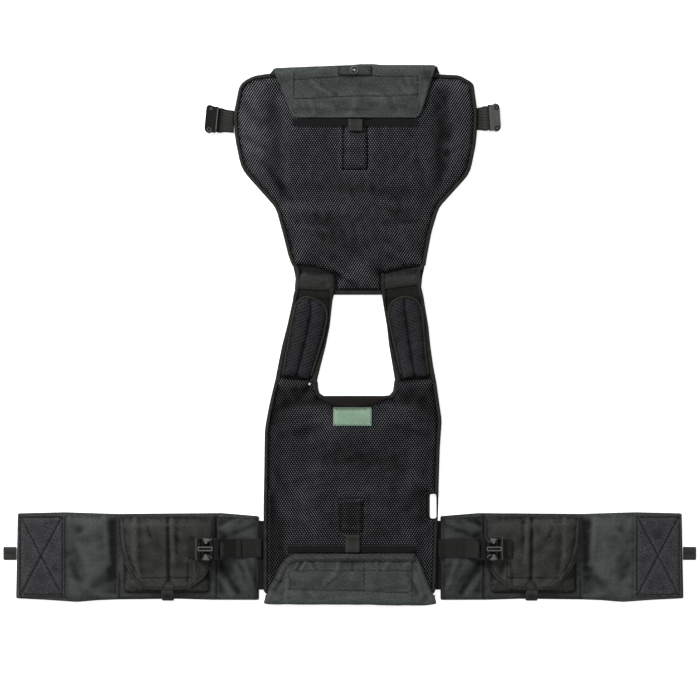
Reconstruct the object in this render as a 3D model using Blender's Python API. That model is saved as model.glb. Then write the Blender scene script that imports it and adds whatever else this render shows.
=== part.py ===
"""An armour carrier vest opened out and laid flat, its mesh lined inside up.

The frame is +Z up with the vest lying on Z = 0, and +Y points to the front panel's hem. Sizes
in the tables are millimetres, in the vest's own plan: X to the right, Y up the vest. Left and
right are as seen from above. Each table names its columns in the comment over it.
"""

import math

import bmesh
import bpy
from mathutils import Matrix, Vector
from mathutils.bvhtree import BVHTree

MM = 0.001
GAP = 0.35  # clearance between pieces that touch

# Layers of a panel, from the floor up.
SHELL_T = 1.4  # outer cloth
RIM_BASE = SHELL_T + GAP  # underside of the edge tape and of the lining's rim
TAPE_W = 8.0
TAPE_H = 4.8
LINING_T = 3.6  # knitted spacer mesh
LINING_INSET = TAPE_W + GAP
EDGE_STEP = 32.0  # the longest straight piece of a panel's edge
SHELL_INSET = 1.5

# How far the lining stands over the plate pocket.
FRONT_DOME = 8.5
BACK_DOME = 8.0
DOME_RISE = 46.0
MOUTH_LIFT = 4.9  # the pocket mouth at each hem stands open by this
PASSAGE_LIFT = 1.9  # the side seams stand open by this, for the wings' tongues

# Front panel's edge, from the right shoulder round the hem to the left one: x, y, corner radius.
FRONT_EDGE = [
    (133, 121, 0),
    (136, 140, 60),
    (143.5, 180, 90),
    (156.5, 223, 45),
    (211, 283, 55),
    (222.5, 340, 110),
    (224, 390, 60),
    (217, 441, 14),
    (193, 455, 30),
    (158, 456.5, 40),
    (-141, 458, 40),
    (-170, 453.5, 40),
    (-193, 440, 30),
    (-204, 385, 60),
    (-201, 343, 110),
    (-190, 290, 62),
    (-129.5, 222, 45),
    (-117, 176, 90),
    (-107, 136, 60),
    (-101, 121, 0),
]
# Where the front shell ends at the shoulders and the neck: x, y, corner radius.
FRONT_SHELL_END = [
    (-95, 100, 20),
    (-97, 76, 4),
    (-30, 70, 8),
    (58, 70, 8),
    (125, 76, 4),
    (127, 100, 20),
]
# Where the front lining ends: along the shoulder keepers, then square to the neck tape.
FRONT_LINING_END = [
    (-62, 119, 30),
    (-30, 109, 6),
    (-22.5, 103, 4),
    (-22.5, 78.4, 2),
    (54, 78.4, 2),
    (54, 108, 6),
    (95, 117.5, 40),
]

# Back panel's edge, from the left shoulder round the hem to the right one: x, y, corner radius.
BACK_EDGE = [
    (-131, -80, 0),
    (-141, -122, 60),
    (-149, -165, 80),
    (-151, -300, 200),
    (-151, -456, 12),
    (150, -456, 12),
    (155, -300, 200),
    (158, -200, 100),
    (161.5, -150, 50),
    (156.8, -118, 50),
    (151.5, -80, 0),
]
BACK_SHELL_END = [
    (78, -80, 0),
    (76, -99, 10),
    (69, -107, 8),
    (-50, -107, 8),
    (-55, -99, 10),
    (-56, -80, 0),
]
# The facing round the back of the neck, and the lining's end along it: x, y, corner radius.
NECK_FACING = [
    (-55, -107.3, 1),
    (-55, -112, 6),
    (-30, -124, 40),
    (4, -130, 120),
    (44, -122, 40),
    (73, -110, 6),
    (73, -107.3, 1),
]
NECK_FACING_T = 3.4
BACK_LINING_END = [
    (79, -80, 0),
    (77.5, -100, 8),
    (73.4, -110.4, 4),
    (44, -122.4, 40),
    (4, -130.4, 120),
    (-30, -124.4, 40),
    (-55.4, -112.4, 4),
    (-56, -100, 8),
    (-57, -80, 0),
]

# Soft folds: from x, y to x, y, width, height. A negative height is a dent.
FRONT_FOLDS = [
    (-136, 440, -130, 245, 20, -4.5),
    (164, 440, 158, 245, 20, -4.5),
    (-190, 400, -158, 372, 16, -2.0),
    (196, 385, 176, 352, 16, -2.0),
    (-105, 205, 120, 212, 24, -2.0),
    (-80, 150, 95, 165, 26, 1.5),
    (-30, 125, 8, 92, 16, -2.0),
]
BACK_FOLDS = [
    (-118, -118, -66, -112, 15, -2.5),
    (142, -112, 88, -110, 15, -2.5),
    (-120, -160, -45, -146, 20, 2.0),
    (130, -158, 60, -146, 20, 2.0),
    (-95, -250, 95, -262, 34, 1.5),
    (-124, -430, -124, -330, 16, -2.0),
    (124, -430, 124, -330, 16, -2.0),
]

# Flaps that close the plate pockets: y across the top layer, left x, right x.
FRONT_FLAP_ROWS = [
    (468, -132, 149.5),
    (459, -129, 146.5),
    (392, -105, 126),
    (384, -101, 122),
    (379, -94, 116),
]
BACK_FLAP_ROWS = [
    (-468, -150, 151),
    (-456, -146, 146),
    (-402, -121, 124),
    (-390, -111, 119),
    (-383, -95, 112),
]
FLAP_T = 2.2
FLAP_COLS = 13
FLAP_STEPS = 9
# The outermost line of each fold: x, y.
FRONT_FOLD = [(-140, 467), (0, 472.4), (18, 474.2), (40, 474.2), (56, 472.6), (160, 472.6)]
BACK_FOLD = [
    (-152, -471.5),
    (-129, -472.6),
    (0, -472.6),
    (60, -473.8),
    (85, -474.2),
    (132, -474.2),
    (152, -471.5),
]
# How far the hem under each flap spreads past it on either side.
FRONT_FLARE = 8.0
BACK_FLARE = -2.0

# Small pieces on the panels: lowest x, lowest y, highest x, highest y, thickness.
FRONT_STRIP = (-100, 364, 119, 377.2, 1.6)
FRONT_PATCH = (-11, 290, 30, 351, 1.8)
FRONT_TAB = (-3, 355, 23, 377.2, 3.2)
SNAP_PATCH = (-21, 452, 38, 469.5, 1.8)
SNAP_AT = (8, 462)
SNAP_R = 6.5
# The snap's rings, from its foot to the stud in its middle: radius, height.
SNAP_RINGS = [(SNAP_R, 0.0), (SNAP_R, 1.2), (5.1, 2.2), (3.2, 2.0), (2.6, 1.0), (1.6, 1.0), (1.4, 1.9)]
BACK_STRIP = (-110, -380.6, 115, -368, 1.6)
BACK_PATCH = (-18, -345, 22, -286, 1.8)
BACK_TAB = (-8, -380.6, 18, -349, 3.2)
LABEL = (-29, -159, 38, -127, 0.7)

# Shoulder straps, from the front panel to the back: y, outer x, inner x.
LEFT_STRAP = [
    (103, -90, -37),
    (92, -92, -31),
    (69, -99, -29),
    (63.5, -100, -30),
    (15, -110, -35),
    (-20, -119, -42),
    (-55, -126, -51),
    (-79.5, -130, -57),
]
RIGHT_STRAP = [
    (103, 121.5, 64),
    (92, 122.5, 59),
    (69, 129, 56),
    (63.5, 130, 57),
    (15, 138, 65),
    (-20, 141.5, 69),
    (-55, 146.5, 75),
    (-79.5, 150.5, 79),
]
STRAP_T = 4.2
STRAP_STEP_Y = 66.0  # past this the straps lie on the front panel's cloth
# Shoulder pads: y at the outer edge, y at the inner edge, outer x, inner x.
LEFT_PAD = [
    (62.8, 61, -80, -64),
    (60, 56, -90, -50),
    (53, 47, -98, -38),
    (36, 30, -104, -35.7),
    (0, -6, -112.5, -41),
    (-40, -46, -121.5, -50.5),
    (-73, -79, -127.3, -59),
]
RIGHT_PAD = [
    (62.8, 61.5, 104, 86),
    (60, 57, 118, 74),
    (53, 48, 126, 66),
    (36, 34, 132.8, 63.7),
    (0, 0, 138, 68.5),
    (-40, -42, 142.8, 74.6),
    (-74, -78, 147.8, 80.5),
]
PAD_TAPE_W = 5.0
PAD_RIM = 3.0
PAD_CROWN = 8.0
PAD_SEAM = 2.6
# Keepers over the strap ends: x, y, of the four corners.
LEFT_KEEPER = [(-94, 80), (-26, 77), (-31, 104), (-90, 114)]
RIGHT_KEEPER = [(58, 79), (124, 88), (122, 119), (60, 105)]
KEEPER_T = 1.6

# Open buckle halves at the chest: anchor x, y, turn in degrees, and how far out from the anchor
# the panel's edge is. The buckle's own sizes run out from the anchor.
CHEST_LEFT = (-203.9, 373.5, 174.5, 0)
CHEST_RIGHT = (214.5, 377.5, 4, 9.7)
WEB_T = 1.5
CHEST_WEB_W = 39.0
CHEST_BAR = (28.6, 31.4)
CHEST_SLOT_END = 35.8
CHEST_BUCKLE = (27.0, 49.0)  # from, to
MOUTH_W = 49.0
WAIST_W = 44.5
CHEST_BUCKLE_T = 11.0
BAR_T = 2.6
SOCKET_W = 37.0
SOCKET_T = 5.6
SOCKET_FROM = 38.0

# A wing, drawn for the left side and mirrored for the right: x, y, corner radius.
WING_EDGE = [
    (-585, -462, 2),
    (-582, -313, 2),
    (-499, -311, 60),
    (-407, -314, 60),
    (-225, -312.5, 20),
    (-159, -318, 2),
    (-159, -464.8, 2),
    (-240, -464.6, 40),
    (-300, -462.8, 60),
    (-407, -464, 40),
    (-440, -465.2, 40),
    (-478, -468.4, 40),
    (-530, -464.8, 40),
]
WING_T = 5.0
WING_FOLDS = [
    (-416, -330, -418, -450, 12, -2.0),
    (-455, -330, -450, -400, 24, 2.6),
    (-480, -448, -430, -405, 14, 1.6),
    (-212, -345, -175, -322, 12, 1.8),
    (-200, -398, -172, -448, 12, 1.8),
    (-225, -330, -224, -450, 9, -1.2),
]
TONGUE = (-172, -446.8, -116, -326)  # lowest x, y, highest x, y
TONGUE_T = 1.2
HOOK_PAD = (-580.5, -458.5, -499.5, -316, 1.6)
WING_TAB = (-607.5, -395, -584.1, -372, 3.2)
SLOT = (140.5, -322, 151.8, -279)

# The pouch on a wing: lowest x, y, highest x, y of the body.
POUCH = (-396, -452, -246, -330)
POUCH_T = 1.5
POUCH_HIGH = 8.0
POUCH_MOUTH = 0.68  # the share of that height at its mouth
POUCH_RISE = 24.0
POUCH_RISE_IN = 42.0  # on the buckle's side
POUCH_FLAP = [
    (-407, -317, 3),
    (-405, -362, 90),
    (-395, -400, 70),
    (-372, -431, 60),
    (-358, -444, 14),
    (-318, -446, 90),
    (-280, -443, 20),
    (-252, -424, 60),
    (-239, -396, 60),
    (-236.5, -362, 60),
    (-236.5, -317, 3),
]
POUCH_FLAP_T = 2.0
POUCH_TAB = (-329, -466, -308, -446.1, 2.4)

# The fastened side buckle and its webbing, on the left wing. The y of its middle line first.
SIDE_Y = -373.0
SIDE_SOCKET = (-267, -238)  # from x, to x
SIDE_BAR = (-264.8, -262.2)
SIDE_PLUG = (-237.4, -219)
PLUG_BAR = (-224.6, -222)
SIDE_BUCKLE_W = 38.5
SIDE_BUCKLE_T = 9.6
SIDE_WEB_W = 30.0
SIDE_TAB_END = -283.0
SIDE_WEB_TAIL = -190.0
SIDE_WEB_START = -155.0

COLOURS = {
    "mesh_lining": ((0.016, 0.017, 0.021), 0.85, 0.0),
    "shell_cloth": ((0.040, 0.047, 0.045), 0.80, 0.0),
    "pouch_cloth": ((0.034, 0.033, 0.029), 0.80, 0.0),
    "webbing": ((0.030, 0.029, 0.025), 0.72, 0.0),
    "edge_tape": ((0.026, 0.026, 0.022), 0.75, 0.0),
    "hook_and_loop": ((0.015, 0.016, 0.019), 0.95, 0.0),
    "neck_facing": ((0.020, 0.015, 0.012), 0.90, 0.0),
    "label_cloth": ((0.270, 0.410, 0.285), 0.80, 0.0),
    "buckle_plastic": ((0.018, 0.018, 0.018), 0.38, 0.0),
    "snap_metal": ((0.350, 0.350, 0.340), 0.35, 1.0),
}


def material(name):
    """The Principled material of that name, made once."""
    found = bpy.data.materials.get(name)
    if found:
        return found
    colour, roughness, metallic = COLOURS[name]
    made = bpy.data.materials.new(name)
    made.use_nodes = True
    shader = made.node_tree.nodes["Principled BSDF"]
    shader.inputs["Base Color"].default_value = (*colour, 1)
    shader.inputs["Roughness"].default_value = roughness
    shader.inputs["Metallic"].default_value = metallic
    return made


def add_object(name, points, faces, finish, smooth=True):
    """A mesh object from points in millimetres and faces as lists of their numbers."""
    mesh = bpy.data.meshes.new(name)
    mesh.from_pydata([Vector(p) * MM for p in points], [], faces)
    shape = bmesh.new()
    shape.from_mesh(mesh)
    bmesh.ops.recalc_face_normals(shape, faces=shape.faces)
    shape.to_mesh(mesh)
    shape.free()
    made = bpy.data.objects.new(name, mesh)
    bpy.context.scene.collection.objects.link(made)
    if finish:
        mesh.materials.append(material(finish))
    if smooth:
        mesh.shade_smooth()
        mesh.set_sharp_from_angle(angle=math.radians(40))
    return made


def ease(t):
    """0 at t = 0, rising steeply and then levelling out to 1 at t = 1."""
    t = min(max(t, 0.0), 1.0)
    return 1 - (1 - t) ** 2


def plateau(value, low, high, ramp):
    """1 between low and high, falling smoothly to 0 over ramp on either side."""
    t = min(max((value - low) / ramp + 1, 0.0), 1.0) * min(max((high - value) / ramp + 1, 0.0), 1.0)
    return t * t * (3 - 2 * t)


def rounded(rows, closed=True, turn=18.0):
    """The points of an outline whose corners, rows of x, y and radius, are rounded by arcs."""
    count, found = len(rows), []
    for i, (x, y, radius) in enumerate(rows):
        corner = Vector((x, y))
        if radius <= 0 or (not closed and i in (0, count - 1)):
            found.append(corner)
            continue
        before = Vector(rows[i - 1][:2]) - corner
        after = Vector(rows[(i + 1) % count][:2]) - corner
        bend = math.pi - before.angle(after)
        reach = min(radius * math.tan(bend / 2), 0.48 * before.length, 0.48 * after.length)
        start = corner + before.normalized() * reach
        end = corner + after.normalized() * reach
        steps = max(1, round(math.degrees(bend) / turn))
        for k in range(steps + 1):
            t = k / steps
            found.append(start * (1 - t) ** 2 + corner * 2 * t * (1 - t) + end * t * t)
    return found


def divided(points, longest):
    """The points of an open line with more added, so that none of its steps is too long."""
    found = [points[0]]
    for a, b in zip(points, points[1:]):
        steps = max(1, math.ceil((b - a).length / longest))
        found += [a.lerp(b, k / steps) for k in range(1, steps + 1)]
    return found


def offset(points, distance, closed=True):
    """The points moved to their left by distance, square to the line through them."""
    count, moved = len(points), []
    for i, point in enumerate(points):
        first = (points[i] - points[i - 1]).normalized()
        second = (points[(i + 1) % count] - points[i]).normalized()
        if not closed and i == 0:
            first = second
        if not closed and i == count - 1:
            second = first
        along = (first + second).normalized()
        square = Vector((-along.y, along.x))
        moved.append(point + square * (distance / max(0.4, along.dot(second))))
    return moved


def edge_distance(x, y, loop):
    """How far x, y lies from the nearest side of a closed loop; 0 outside it."""
    best, inside = 1e9, False
    for i, b in enumerate(loop):
        a = loop[i - 1]
        side = b - a
        t = min(max(((x - a.x) * side.x + (y - a.y) * side.y) / max(side.length_squared, 1e-9), 0), 1)
        best = min(best, math.hypot(x - a.x - t * side.x, y - a.y - t * side.y))
        if (a.y > y) != (b.y > y) and x < a.x + (y - a.y) / (b.y - a.y) * side.x:
            inside = not inside
    return best if inside else 0.0


def folds(x, y, rows):
    """The height that soft folds and dents add at x, y."""
    total = 0.0
    for x0, y0, x1, y1, width, height in rows:
        dx, dy = x1 - x0, y1 - y0
        t = min(max(((x - x0) * dx + (y - y0) * dy) / (dx * dx + dy * dy), 0), 1)
        away = math.hypot(x - x0 - t * dx, y - y0 - t * dy)
        total += height * math.exp(-((away / width) ** 2))
    return total


def prism(name, loop, low, high, finish, chamfer=0.0):
    """A flat plate with that outline, its upper and lower edges chamfered."""
    levels = [(0.0, low), (0.0, high)]
    if chamfer:
        levels = [(chamfer, low), (0.0, low + chamfer), (0.0, high - chamfer), (chamfer, high)]
    points, faces, n = [], [], len(loop)
    for inset, z in levels:
        ring = offset(loop, inset) if inset else loop
        points += [(p.x, p.y, z) for p in ring]
    for k in range(len(levels) - 1):
        for i in range(n):
            j = (i + 1) % n
            faces.append((k * n + i, k * n + j, (k + 1) * n + j, (k + 1) * n + i))
    faces.append(tuple(reversed(range(n))))
    faces.append(tuple(range((len(levels) - 1) * n, len(levels) * n)))
    return add_object(name, points, faces, finish, smooth=False)


def rectangle(box, radius=0.0):
    x0, y0, x1, y1 = box[:4]
    return rounded([(x0, y0, radius), (x1, y0, radius), (x1, y1, radius), (x0, y1, radius)], turn=45)


def combine(target, tool, operation):
    """A Boolean of target with tool, which is then only a helper."""
    change = target.modifiers.new(operation.lower(), "BOOLEAN")
    change.operation = operation
    change.solver = "EXACT"
    change.object = tool
    tool.hide_render = True
    tool.display_type = "WIRE"
    return target


def thick_grid(name, grid, thickness, finish):
    """A closed sheet round a grid of rows of points, its thickness square to the sheet."""
    rows, cols = len(grid), len(grid[0])
    upper, lower = [], []
    for i in range(rows):
        for j in range(cols):
            across = grid[i][min(j + 1, cols - 1)] - grid[i][max(j - 1, 0)]
            along = grid[min(i + 1, rows - 1)][j] - grid[max(i - 1, 0)][j]
            square = across.cross(along).normalized() * (thickness / 2)
            upper.append(grid[i][j] + square)
            lower.append(grid[i][j] - square)
    n = rows * cols
    faces = []
    for i in range(rows - 1):
        for j in range(cols - 1):
            a, b, c, d = i * cols + j, i * cols + j + 1, (i + 1) * cols + j + 1, (i + 1) * cols + j
            faces += [(a, b, c, d), (n + d, n + c, n + b, n + a)]
    rim = [j for j in range(cols)]
    rim += [i * cols + cols - 1 for i in range(1, rows)]
    rim += [(rows - 1) * cols + j for j in range(cols - 2, -1, -1)]
    rim += [i * cols for i in range(rows - 2, 0, -1)]
    for a, b in zip(rim, rim[1:] + rim[:1]):
        faces.append((a, n + a, n + b, b))
    return add_object(name, upper + lower, faces, finish)


def ticks(values, cell, more=()):
    """Evenly spaced numbers from just below the values to just above them, and some more."""
    low, high = min(values) - 1, max(values) + 1
    count = max(2, round((high - low) / cell))
    return sorted([low + (high - low) * i / count for i in range(count + 1)] + list(more))


def slab(name, loop, cell, bottom, thickness, finish, rows_y=()):
    """A sheet with that outline over a grid of cells, its underside at bottom(x, y)."""
    xs, ys = ticks([p.x for p in loop], cell), ticks([p.y for p in loop], cell, rows_y)
    points, faces = [], []
    for layer in (0, 1):
        for y in ys:
            for x in xs:
                high = thickness(x, y) if callable(thickness) else thickness
                points.append((x, y, bottom(x, y) + layer * high))
    nx, ny = len(xs) - 1, len(ys) - 1
    cols, n = nx + 1, (nx + 1) * (ny + 1)
    for i in range(ny):
        for j in range(nx):
            a, b, c, d = i * cols + j, i * cols + j + 1, (i + 1) * cols + j + 1, (i + 1) * cols + j
            faces += [(n + a, n + b, n + c, n + d), (d, c, b, a)]
    rim = [j for j in range(cols)]
    rim += [i * cols + nx for i in range(1, ny + 1)]
    rim += [ny * cols + j for j in range(nx - 1, -1, -1)]
    rim += [i * cols for i in range(ny - 1, 0, -1)]
    for a, b in zip(rim, rim[1:] + rim[:1]):
        faces.append((a, b, n + b, n + a))
    sheet = add_object(name, points, faces, finish)
    cutter = prism(name + "_outline", loop, -20, 60, None)
    return combine(sheet, cutter, "INTERSECT")


def bead(name, run, width, base, height, finish, closed=False):
    """A bound edge: a strip along the run, from its line to width inside it, on base(x, y)."""
    profile = [(0.0, 0.22), (0.0, 0.72), (0.28, 1.0), (0.8, 1.0), (1.0, 0.8), (1.0, 0.0), (0.15, 0.0)]
    lines = [offset(run, share * width, closed) for share, _ in profile]
    points, faces, k = [], [], len(profile)
    for i in range(len(run)):
        floor = base(run[i].x, run[i].y)
        points += [(line[i].x, line[i].y, floor + up * height) for line, (_, up) in zip(lines, profile)]
    count = len(run) if closed else len(run) - 1
    for i in range(count):
        a, b = i * k, (i + 1) % len(run) * k
        for j in range(k):
            m = (j + 1) % k
            faces.append((a + j, b + j, b + m, a + m))
    if not closed:
        faces.append(tuple(range(k)))
        faces.append(tuple(reversed(range(count * k, count * k + k))))
    return add_object(name, points, faces, finish)


class Surface:
    """The highest point of some finished pieces at a place in the plan."""

    def __init__(self, pieces):
        graph = bpy.context.evaluated_depsgraph_get()
        self.trees = []
        for piece in pieces:
            mesh = piece.evaluated_get(graph).to_mesh()
            corners = [piece.matrix_world @ v.co / MM for v in mesh.vertices]
            sides = [tuple(p.vertices) for p in mesh.polygons]
            self.trees.append(BVHTree.FromPolygons(corners, sides))

    def at(self, x, y, reach=0.0, floor=0.0):
        """The height at x, y, or the most within reach of it."""
        best = floor
        shifts = (-reach, -reach / 2, 0.0, reach / 2, reach) if reach else (0.0,)
        for dx in shifts:
            for dy in shifts:
                for tree in self.trees:
                    hit = tree.ray_cast(Vector((x + dx, y + dy, 100)), Vector((0, 0, -1)))[0]
                    if hit:
                        best = max(best, hit.z)
        return best


def front_lift(x, y):
    """How far the front pocket's mouth lifts the lining off the shell."""
    return MOUTH_LIFT * plateau(x, -92, 112, 40) * plateau(y, 440, 470, 70)


def back_lift(x, y):
    """The same at the back hem, and along the side seams that the wings pass through."""
    mouth = MOUTH_LIFT * plateau(x, -92, 92, 40) * plateau(y, -470, -440, 50)
    side = PASSAGE_LIFT * plateau(y, -446, -280, 16) * plateau(abs(x), 130, 170, 30)
    return max(mouth, side)


def lining_base(loop, lift, dome, rows):
    """The height of a lining's underside, from its lifted rim to its dome, with its folds."""

    def base(x, y):
        inside = edge_distance(x, y, loop)
        swell = dome * ease(inside / DOME_RISE)
        raised = (swell**4 + lift(x, y) ** 4) ** 0.25
        return RIM_BASE + raised + folds(x, y, rows) * ease(inside / 26) * (swell / dome)

    return base


def make_front_panel():
    run = divided(rounded(FRONT_EDGE, closed=False, turn=22), EDGE_STEP)
    shell_loop = offset(run, SHELL_INSET, closed=False) + rounded(FRONT_SHELL_END, closed=False)
    prism("front_shell", shell_loop, 0, SHELL_T, "shell_cloth")
    lining_loop = offset(run, LINING_INSET, closed=False) + rounded(FRONT_LINING_END, closed=False)
    base = lining_base(lining_loop, front_lift, FRONT_DOME, FRONT_FOLDS)
    lining = slab("front_lining", lining_loop, 25, base, LINING_T, "mesh_lining")

    def tape_base(x, y):
        return RIM_BASE + front_lift(x, y)

    tape = bead("front_edge_tape", run, TAPE_W, tape_base, TAPE_H, "edge_tape")
    neck = [Vector((-25, 70.5)), Vector((54, 70.5))]
    bead("front_neck_tape", neck, TAPE_W - 1, lambda x, y: RIM_BASE, TAPE_H, "edge_tape")
    return lining, tape


def make_back_panel():
    run = divided(rounded(BACK_EDGE, closed=False, turn=22), EDGE_STEP)
    shell_loop = offset(run, SHELL_INSET, closed=False) + rounded(BACK_SHELL_END, closed=False)
    shell = prism("back_shell", shell_loop, 0, SHELL_T, "shell_cloth")
    lining_loop = offset(run, LINING_INSET, closed=False) + rounded(BACK_LINING_END, closed=False)
    base = lining_base(lining_loop, back_lift, BACK_DOME, BACK_FOLDS)
    lining = slab("back_lining", lining_loop, 24, base, LINING_T, "mesh_lining")

    def tape_base(x, y):
        return RIM_BASE + back_lift(x, y)

    tape = bead("back_edge_tape", run, TAPE_W, tape_base, TAPE_H, "edge_tape")
    slot = prism("slot_cutter", rectangle(SLOT, 4), -10, 60, None)
    for piece in (shell, lining, tape):
        combine(piece, slot, "DIFFERENCE")
    facing = rounded(NECK_FACING)
    prism("neck_facing", facing, RIM_BASE, RIM_BASE + NECK_FACING_T, "neck_facing", 0.8)
    return lining, tape


def across(rows, y):
    """The left and right x at a y, from rows of y, left x, right x."""
    for (y0, left0, right0), (y1, left1, right1) in zip(rows, rows[1:]):
        if (y0 - y) * (y1 - y) <= 0:
            t = (y - y0) / (y1 - y0)
            return left0 + (left1 - left0) * t, right0 + (right1 - right0) * t
    return rows[-1][1:]


def along(rows, x):
    """The y at an x on a line of rows of x, y."""
    for (x0, y0), (x1, y1) in zip(rows, rows[1:]):
        if x <= x1:
            return y0 + (y1 - y0) * (x - x0) / (x1 - x0)
    return rows[-1][1]


def make_flap(name, rows, fold, flare, surface):
    """A pocket flap: the shell's hem goes on past the lining's, folds back and lies over it."""
    out = 1 if fold[0][1] > 0 else -1
    half = FLAP_T / 2
    first, hem, last = rows[0][0], rows[1][0], rows[-1][0]

    def seat(x, y):
        return surface.at(x, y, 8, RIM_BASE) + GAP + half

    def line(y_of, z_of, y_row, wider=0.0):
        left, right = across(rows, y_row)
        xs = [left - wider + (right - left + 2 * wider) * j / (FLAP_COLS - 1) for j in range(FLAP_COLS)]
        return [Vector((x, y_of(x), z_of(x))) for x in xs]

    def top(x):
        return seat(x, hem - out * 5) + GAP

    def radius(x):
        return (top(x) - half) / 2

    def centre(x):
        return along(fold, x) - out * (radius(x) + half)

    grid = [line(lambda x: hem + out * GAP, lambda x: half, first, flare)]
    grid.append(line(centre, lambda x: half, first, flare / 2))
    for turn in (math.pi / 4, math.pi / 2, math.pi * 3 / 4):
        grid.append(
            line(
                lambda x: centre(x) + out * radius(x) * math.sin(turn),
                lambda x: half + radius(x) * (1 - math.cos(turn)),
                first,
            )
        )
    for k in range(FLAP_STEPS + 1):
        share = k / FLAP_STEPS

        def down(x):
            return centre(x) + (last - centre(x)) * share

        def height(x):
            past = (down(x) - hem) * out > -4
            return max(seat(x, down(x)), top(x) if past else 0)

        grid.append(line(down, height, first + (last - first) * share))
    return thick_grid(name, grid, FLAP_T, "shell_cloth")


def lay(name, loop, cell, surface, thickness, finish, reach, rows_y=()):
    """A thin piece laid on the pieces below it."""
    return slab(name, loop, cell, lambda x, y: surface.at(x, y, reach) + GAP, thickness, finish, rows_y)


def lay_box(name, box, surface, finish, cell=20):
    """A thin rectangle laid on the pieces below it."""
    return lay(name, rectangle(box, 1.5), cell, surface, box[4], finish, 9)


def make_panel_trim(front, back):
    """The strips, patches, tabs, label and snap on the two linings."""
    on_front, on_back = Surface(front), Surface(back)
    front += [lay_box("front_loop_strip", FRONT_STRIP, on_front, "hook_and_loop")]
    front += [lay_box("front_mesh_patch", FRONT_PATCH, on_front, "mesh_lining")]
    back += [lay_box("back_loop_strip", BACK_STRIP, on_back, "hook_and_loop")]
    back += [lay_box("back_mesh_patch", BACK_PATCH, on_back, "mesh_lining")]
    lay_box("sewn_label", LABEL, on_back, "label_cloth")
    lay_box("front_flap_tab", FRONT_TAB, Surface(front), "webbing", 12)
    lay_box("back_flap_tab", BACK_TAB, Surface(back), "webbing", 12)


def make_snap():
    on_flap = Surface([bpy.data.objects["front_flap"]])
    patch = lay("snap_patch", rectangle(SNAP_PATCH, 1.5), 12, on_flap, SNAP_PATCH[4], "shell_cloth", 5)
    top = Surface([patch]).at(*SNAP_AT, SNAP_R)
    points, faces, sides = [], [], 12
    for radius, up in SNAP_RINGS:
        for k in range(sides):
            a = 2 * math.pi * k / sides
            x, y = SNAP_AT[0] + radius * math.cos(a), SNAP_AT[1] + radius * math.sin(a)
            points.append((x, y, top + GAP + up))
    for r in range(len(SNAP_RINGS) - 1):
        for k in range(sides):
            m = (k + 1) % sides
            faces.append((r * sides + k, r * sides + m, (r + 1) * sides + m, (r + 1) * sides + k))
    faces.append(tuple(reversed(range(sides))))
    faces.append(tuple(range((len(SNAP_RINGS) - 1) * sides, len(SNAP_RINGS) * sides)))
    add_object("snap_button", points, faces, "snap_metal")


def make_shoulder(side, strap_rows, pad_rows, keeper):
    """A strap from the back panel to the front one, its padded sleeve, and the keeper on its end."""
    cols = 4
    grid = []
    for y, outer, inner in strap_rows:
        z = STRAP_T / 2 + (RIM_BASE if y > STRAP_STEP_Y else 0.0)
        grid.append([Vector((outer + (inner - outer) * j / (cols - 1), y, z)) for j in range(cols)])
    thick_grid("shoulder_strap_" + side, grid, STRAP_T, "webbing")
    loop = [Vector((outer, y)) for y, _, outer, _ in pad_rows]
    loop += [Vector((inner, y)) for _, y, _, inner in reversed(pad_rows)]
    if loop[0].x > loop[-1].x:
        loop.reverse()
    seat = STRAP_T + GAP
    bead("pad_tape_" + side, loop, PAD_TAPE_W, lambda x, y: seat, PAD_RIM, "edge_tape", closed=True)
    slab(
        "shoulder_pad_" + side,
        offset(loop, PAD_TAPE_W + GAP),
        17,
        lambda x, y: seat,
        lambda x, y: pad_height(x, y, loop, pad_rows),
        "mesh_lining",
    )
    corners = rounded([(x, y, 3) for x, y in keeper])
    prism("strap_keeper_" + side, corners, RIM_BASE + seat, RIM_BASE + seat + KEEPER_T, "shell_cloth")


def pad_height(x, y, loop, rows):
    """A pad's thickness: full beside its middle seam, thin at the seam and at its rim."""
    inside = edge_distance(x, y, loop)
    seam = 1e9
    for i in range(1, len(rows)):
        y0, y1 = (rows[i - 1][0] + rows[i - 1][1]) / 2, (rows[i][0] + rows[i][1]) / 2
        if y1 <= y <= y0:
            t = (y0 - y) / (y0 - y1)
            middle0, middle1 = (rows[i - 1][2] + rows[i - 1][3]) / 2, (rows[i][2] + rows[i][3]) / 2
            seam = abs(x - middle0 - (middle1 - middle0) * t)
    dent = PAD_SEAM * math.exp(-((seam / 9) ** 2)) if seam < 100 else 0
    return PAD_RIM + (PAD_CROWN - PAD_RIM) * ease((inside - 4) / 20) - dent


def turned(points, at):
    """Local points, x outwards along the strap, placed at an anchor of x, y and turn."""
    x, y, degrees, _ = at
    place = Matrix.Translation((x, y, 0)) @ Matrix.Rotation(math.radians(degrees), 4, "Z")
    return [place @ Vector(p) for p in points]


def flat_turned(rows, at):
    """An outline of rows of x, y, radius, rounded and placed at an anchor."""
    return [p.xy for p in turned([(q.x, q.y, 0) for q in rounded(rows)], at)]


def bar_loop(bar_end, low, high):
    """The middle line of webbing round a bar's end, from its lower run to its upper: x, z."""
    middle, radius = (low + high) / 2, (high - low) / 2
    turns = [math.pi * k / 4 for k in range(5)]
    return [(bar_end + radius * math.sin(a), middle - radius * math.cos(a)) for a in turns]


def web(name, path, width, place):
    """Webbing along a path of x, z; place gives the point for x, the way across, and z."""
    grid = [[place(x, side * width / 2, z) for side in (1, -1)] for x, z in path]
    return thick_grid(name, grid, WEB_T, "webbing")


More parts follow.
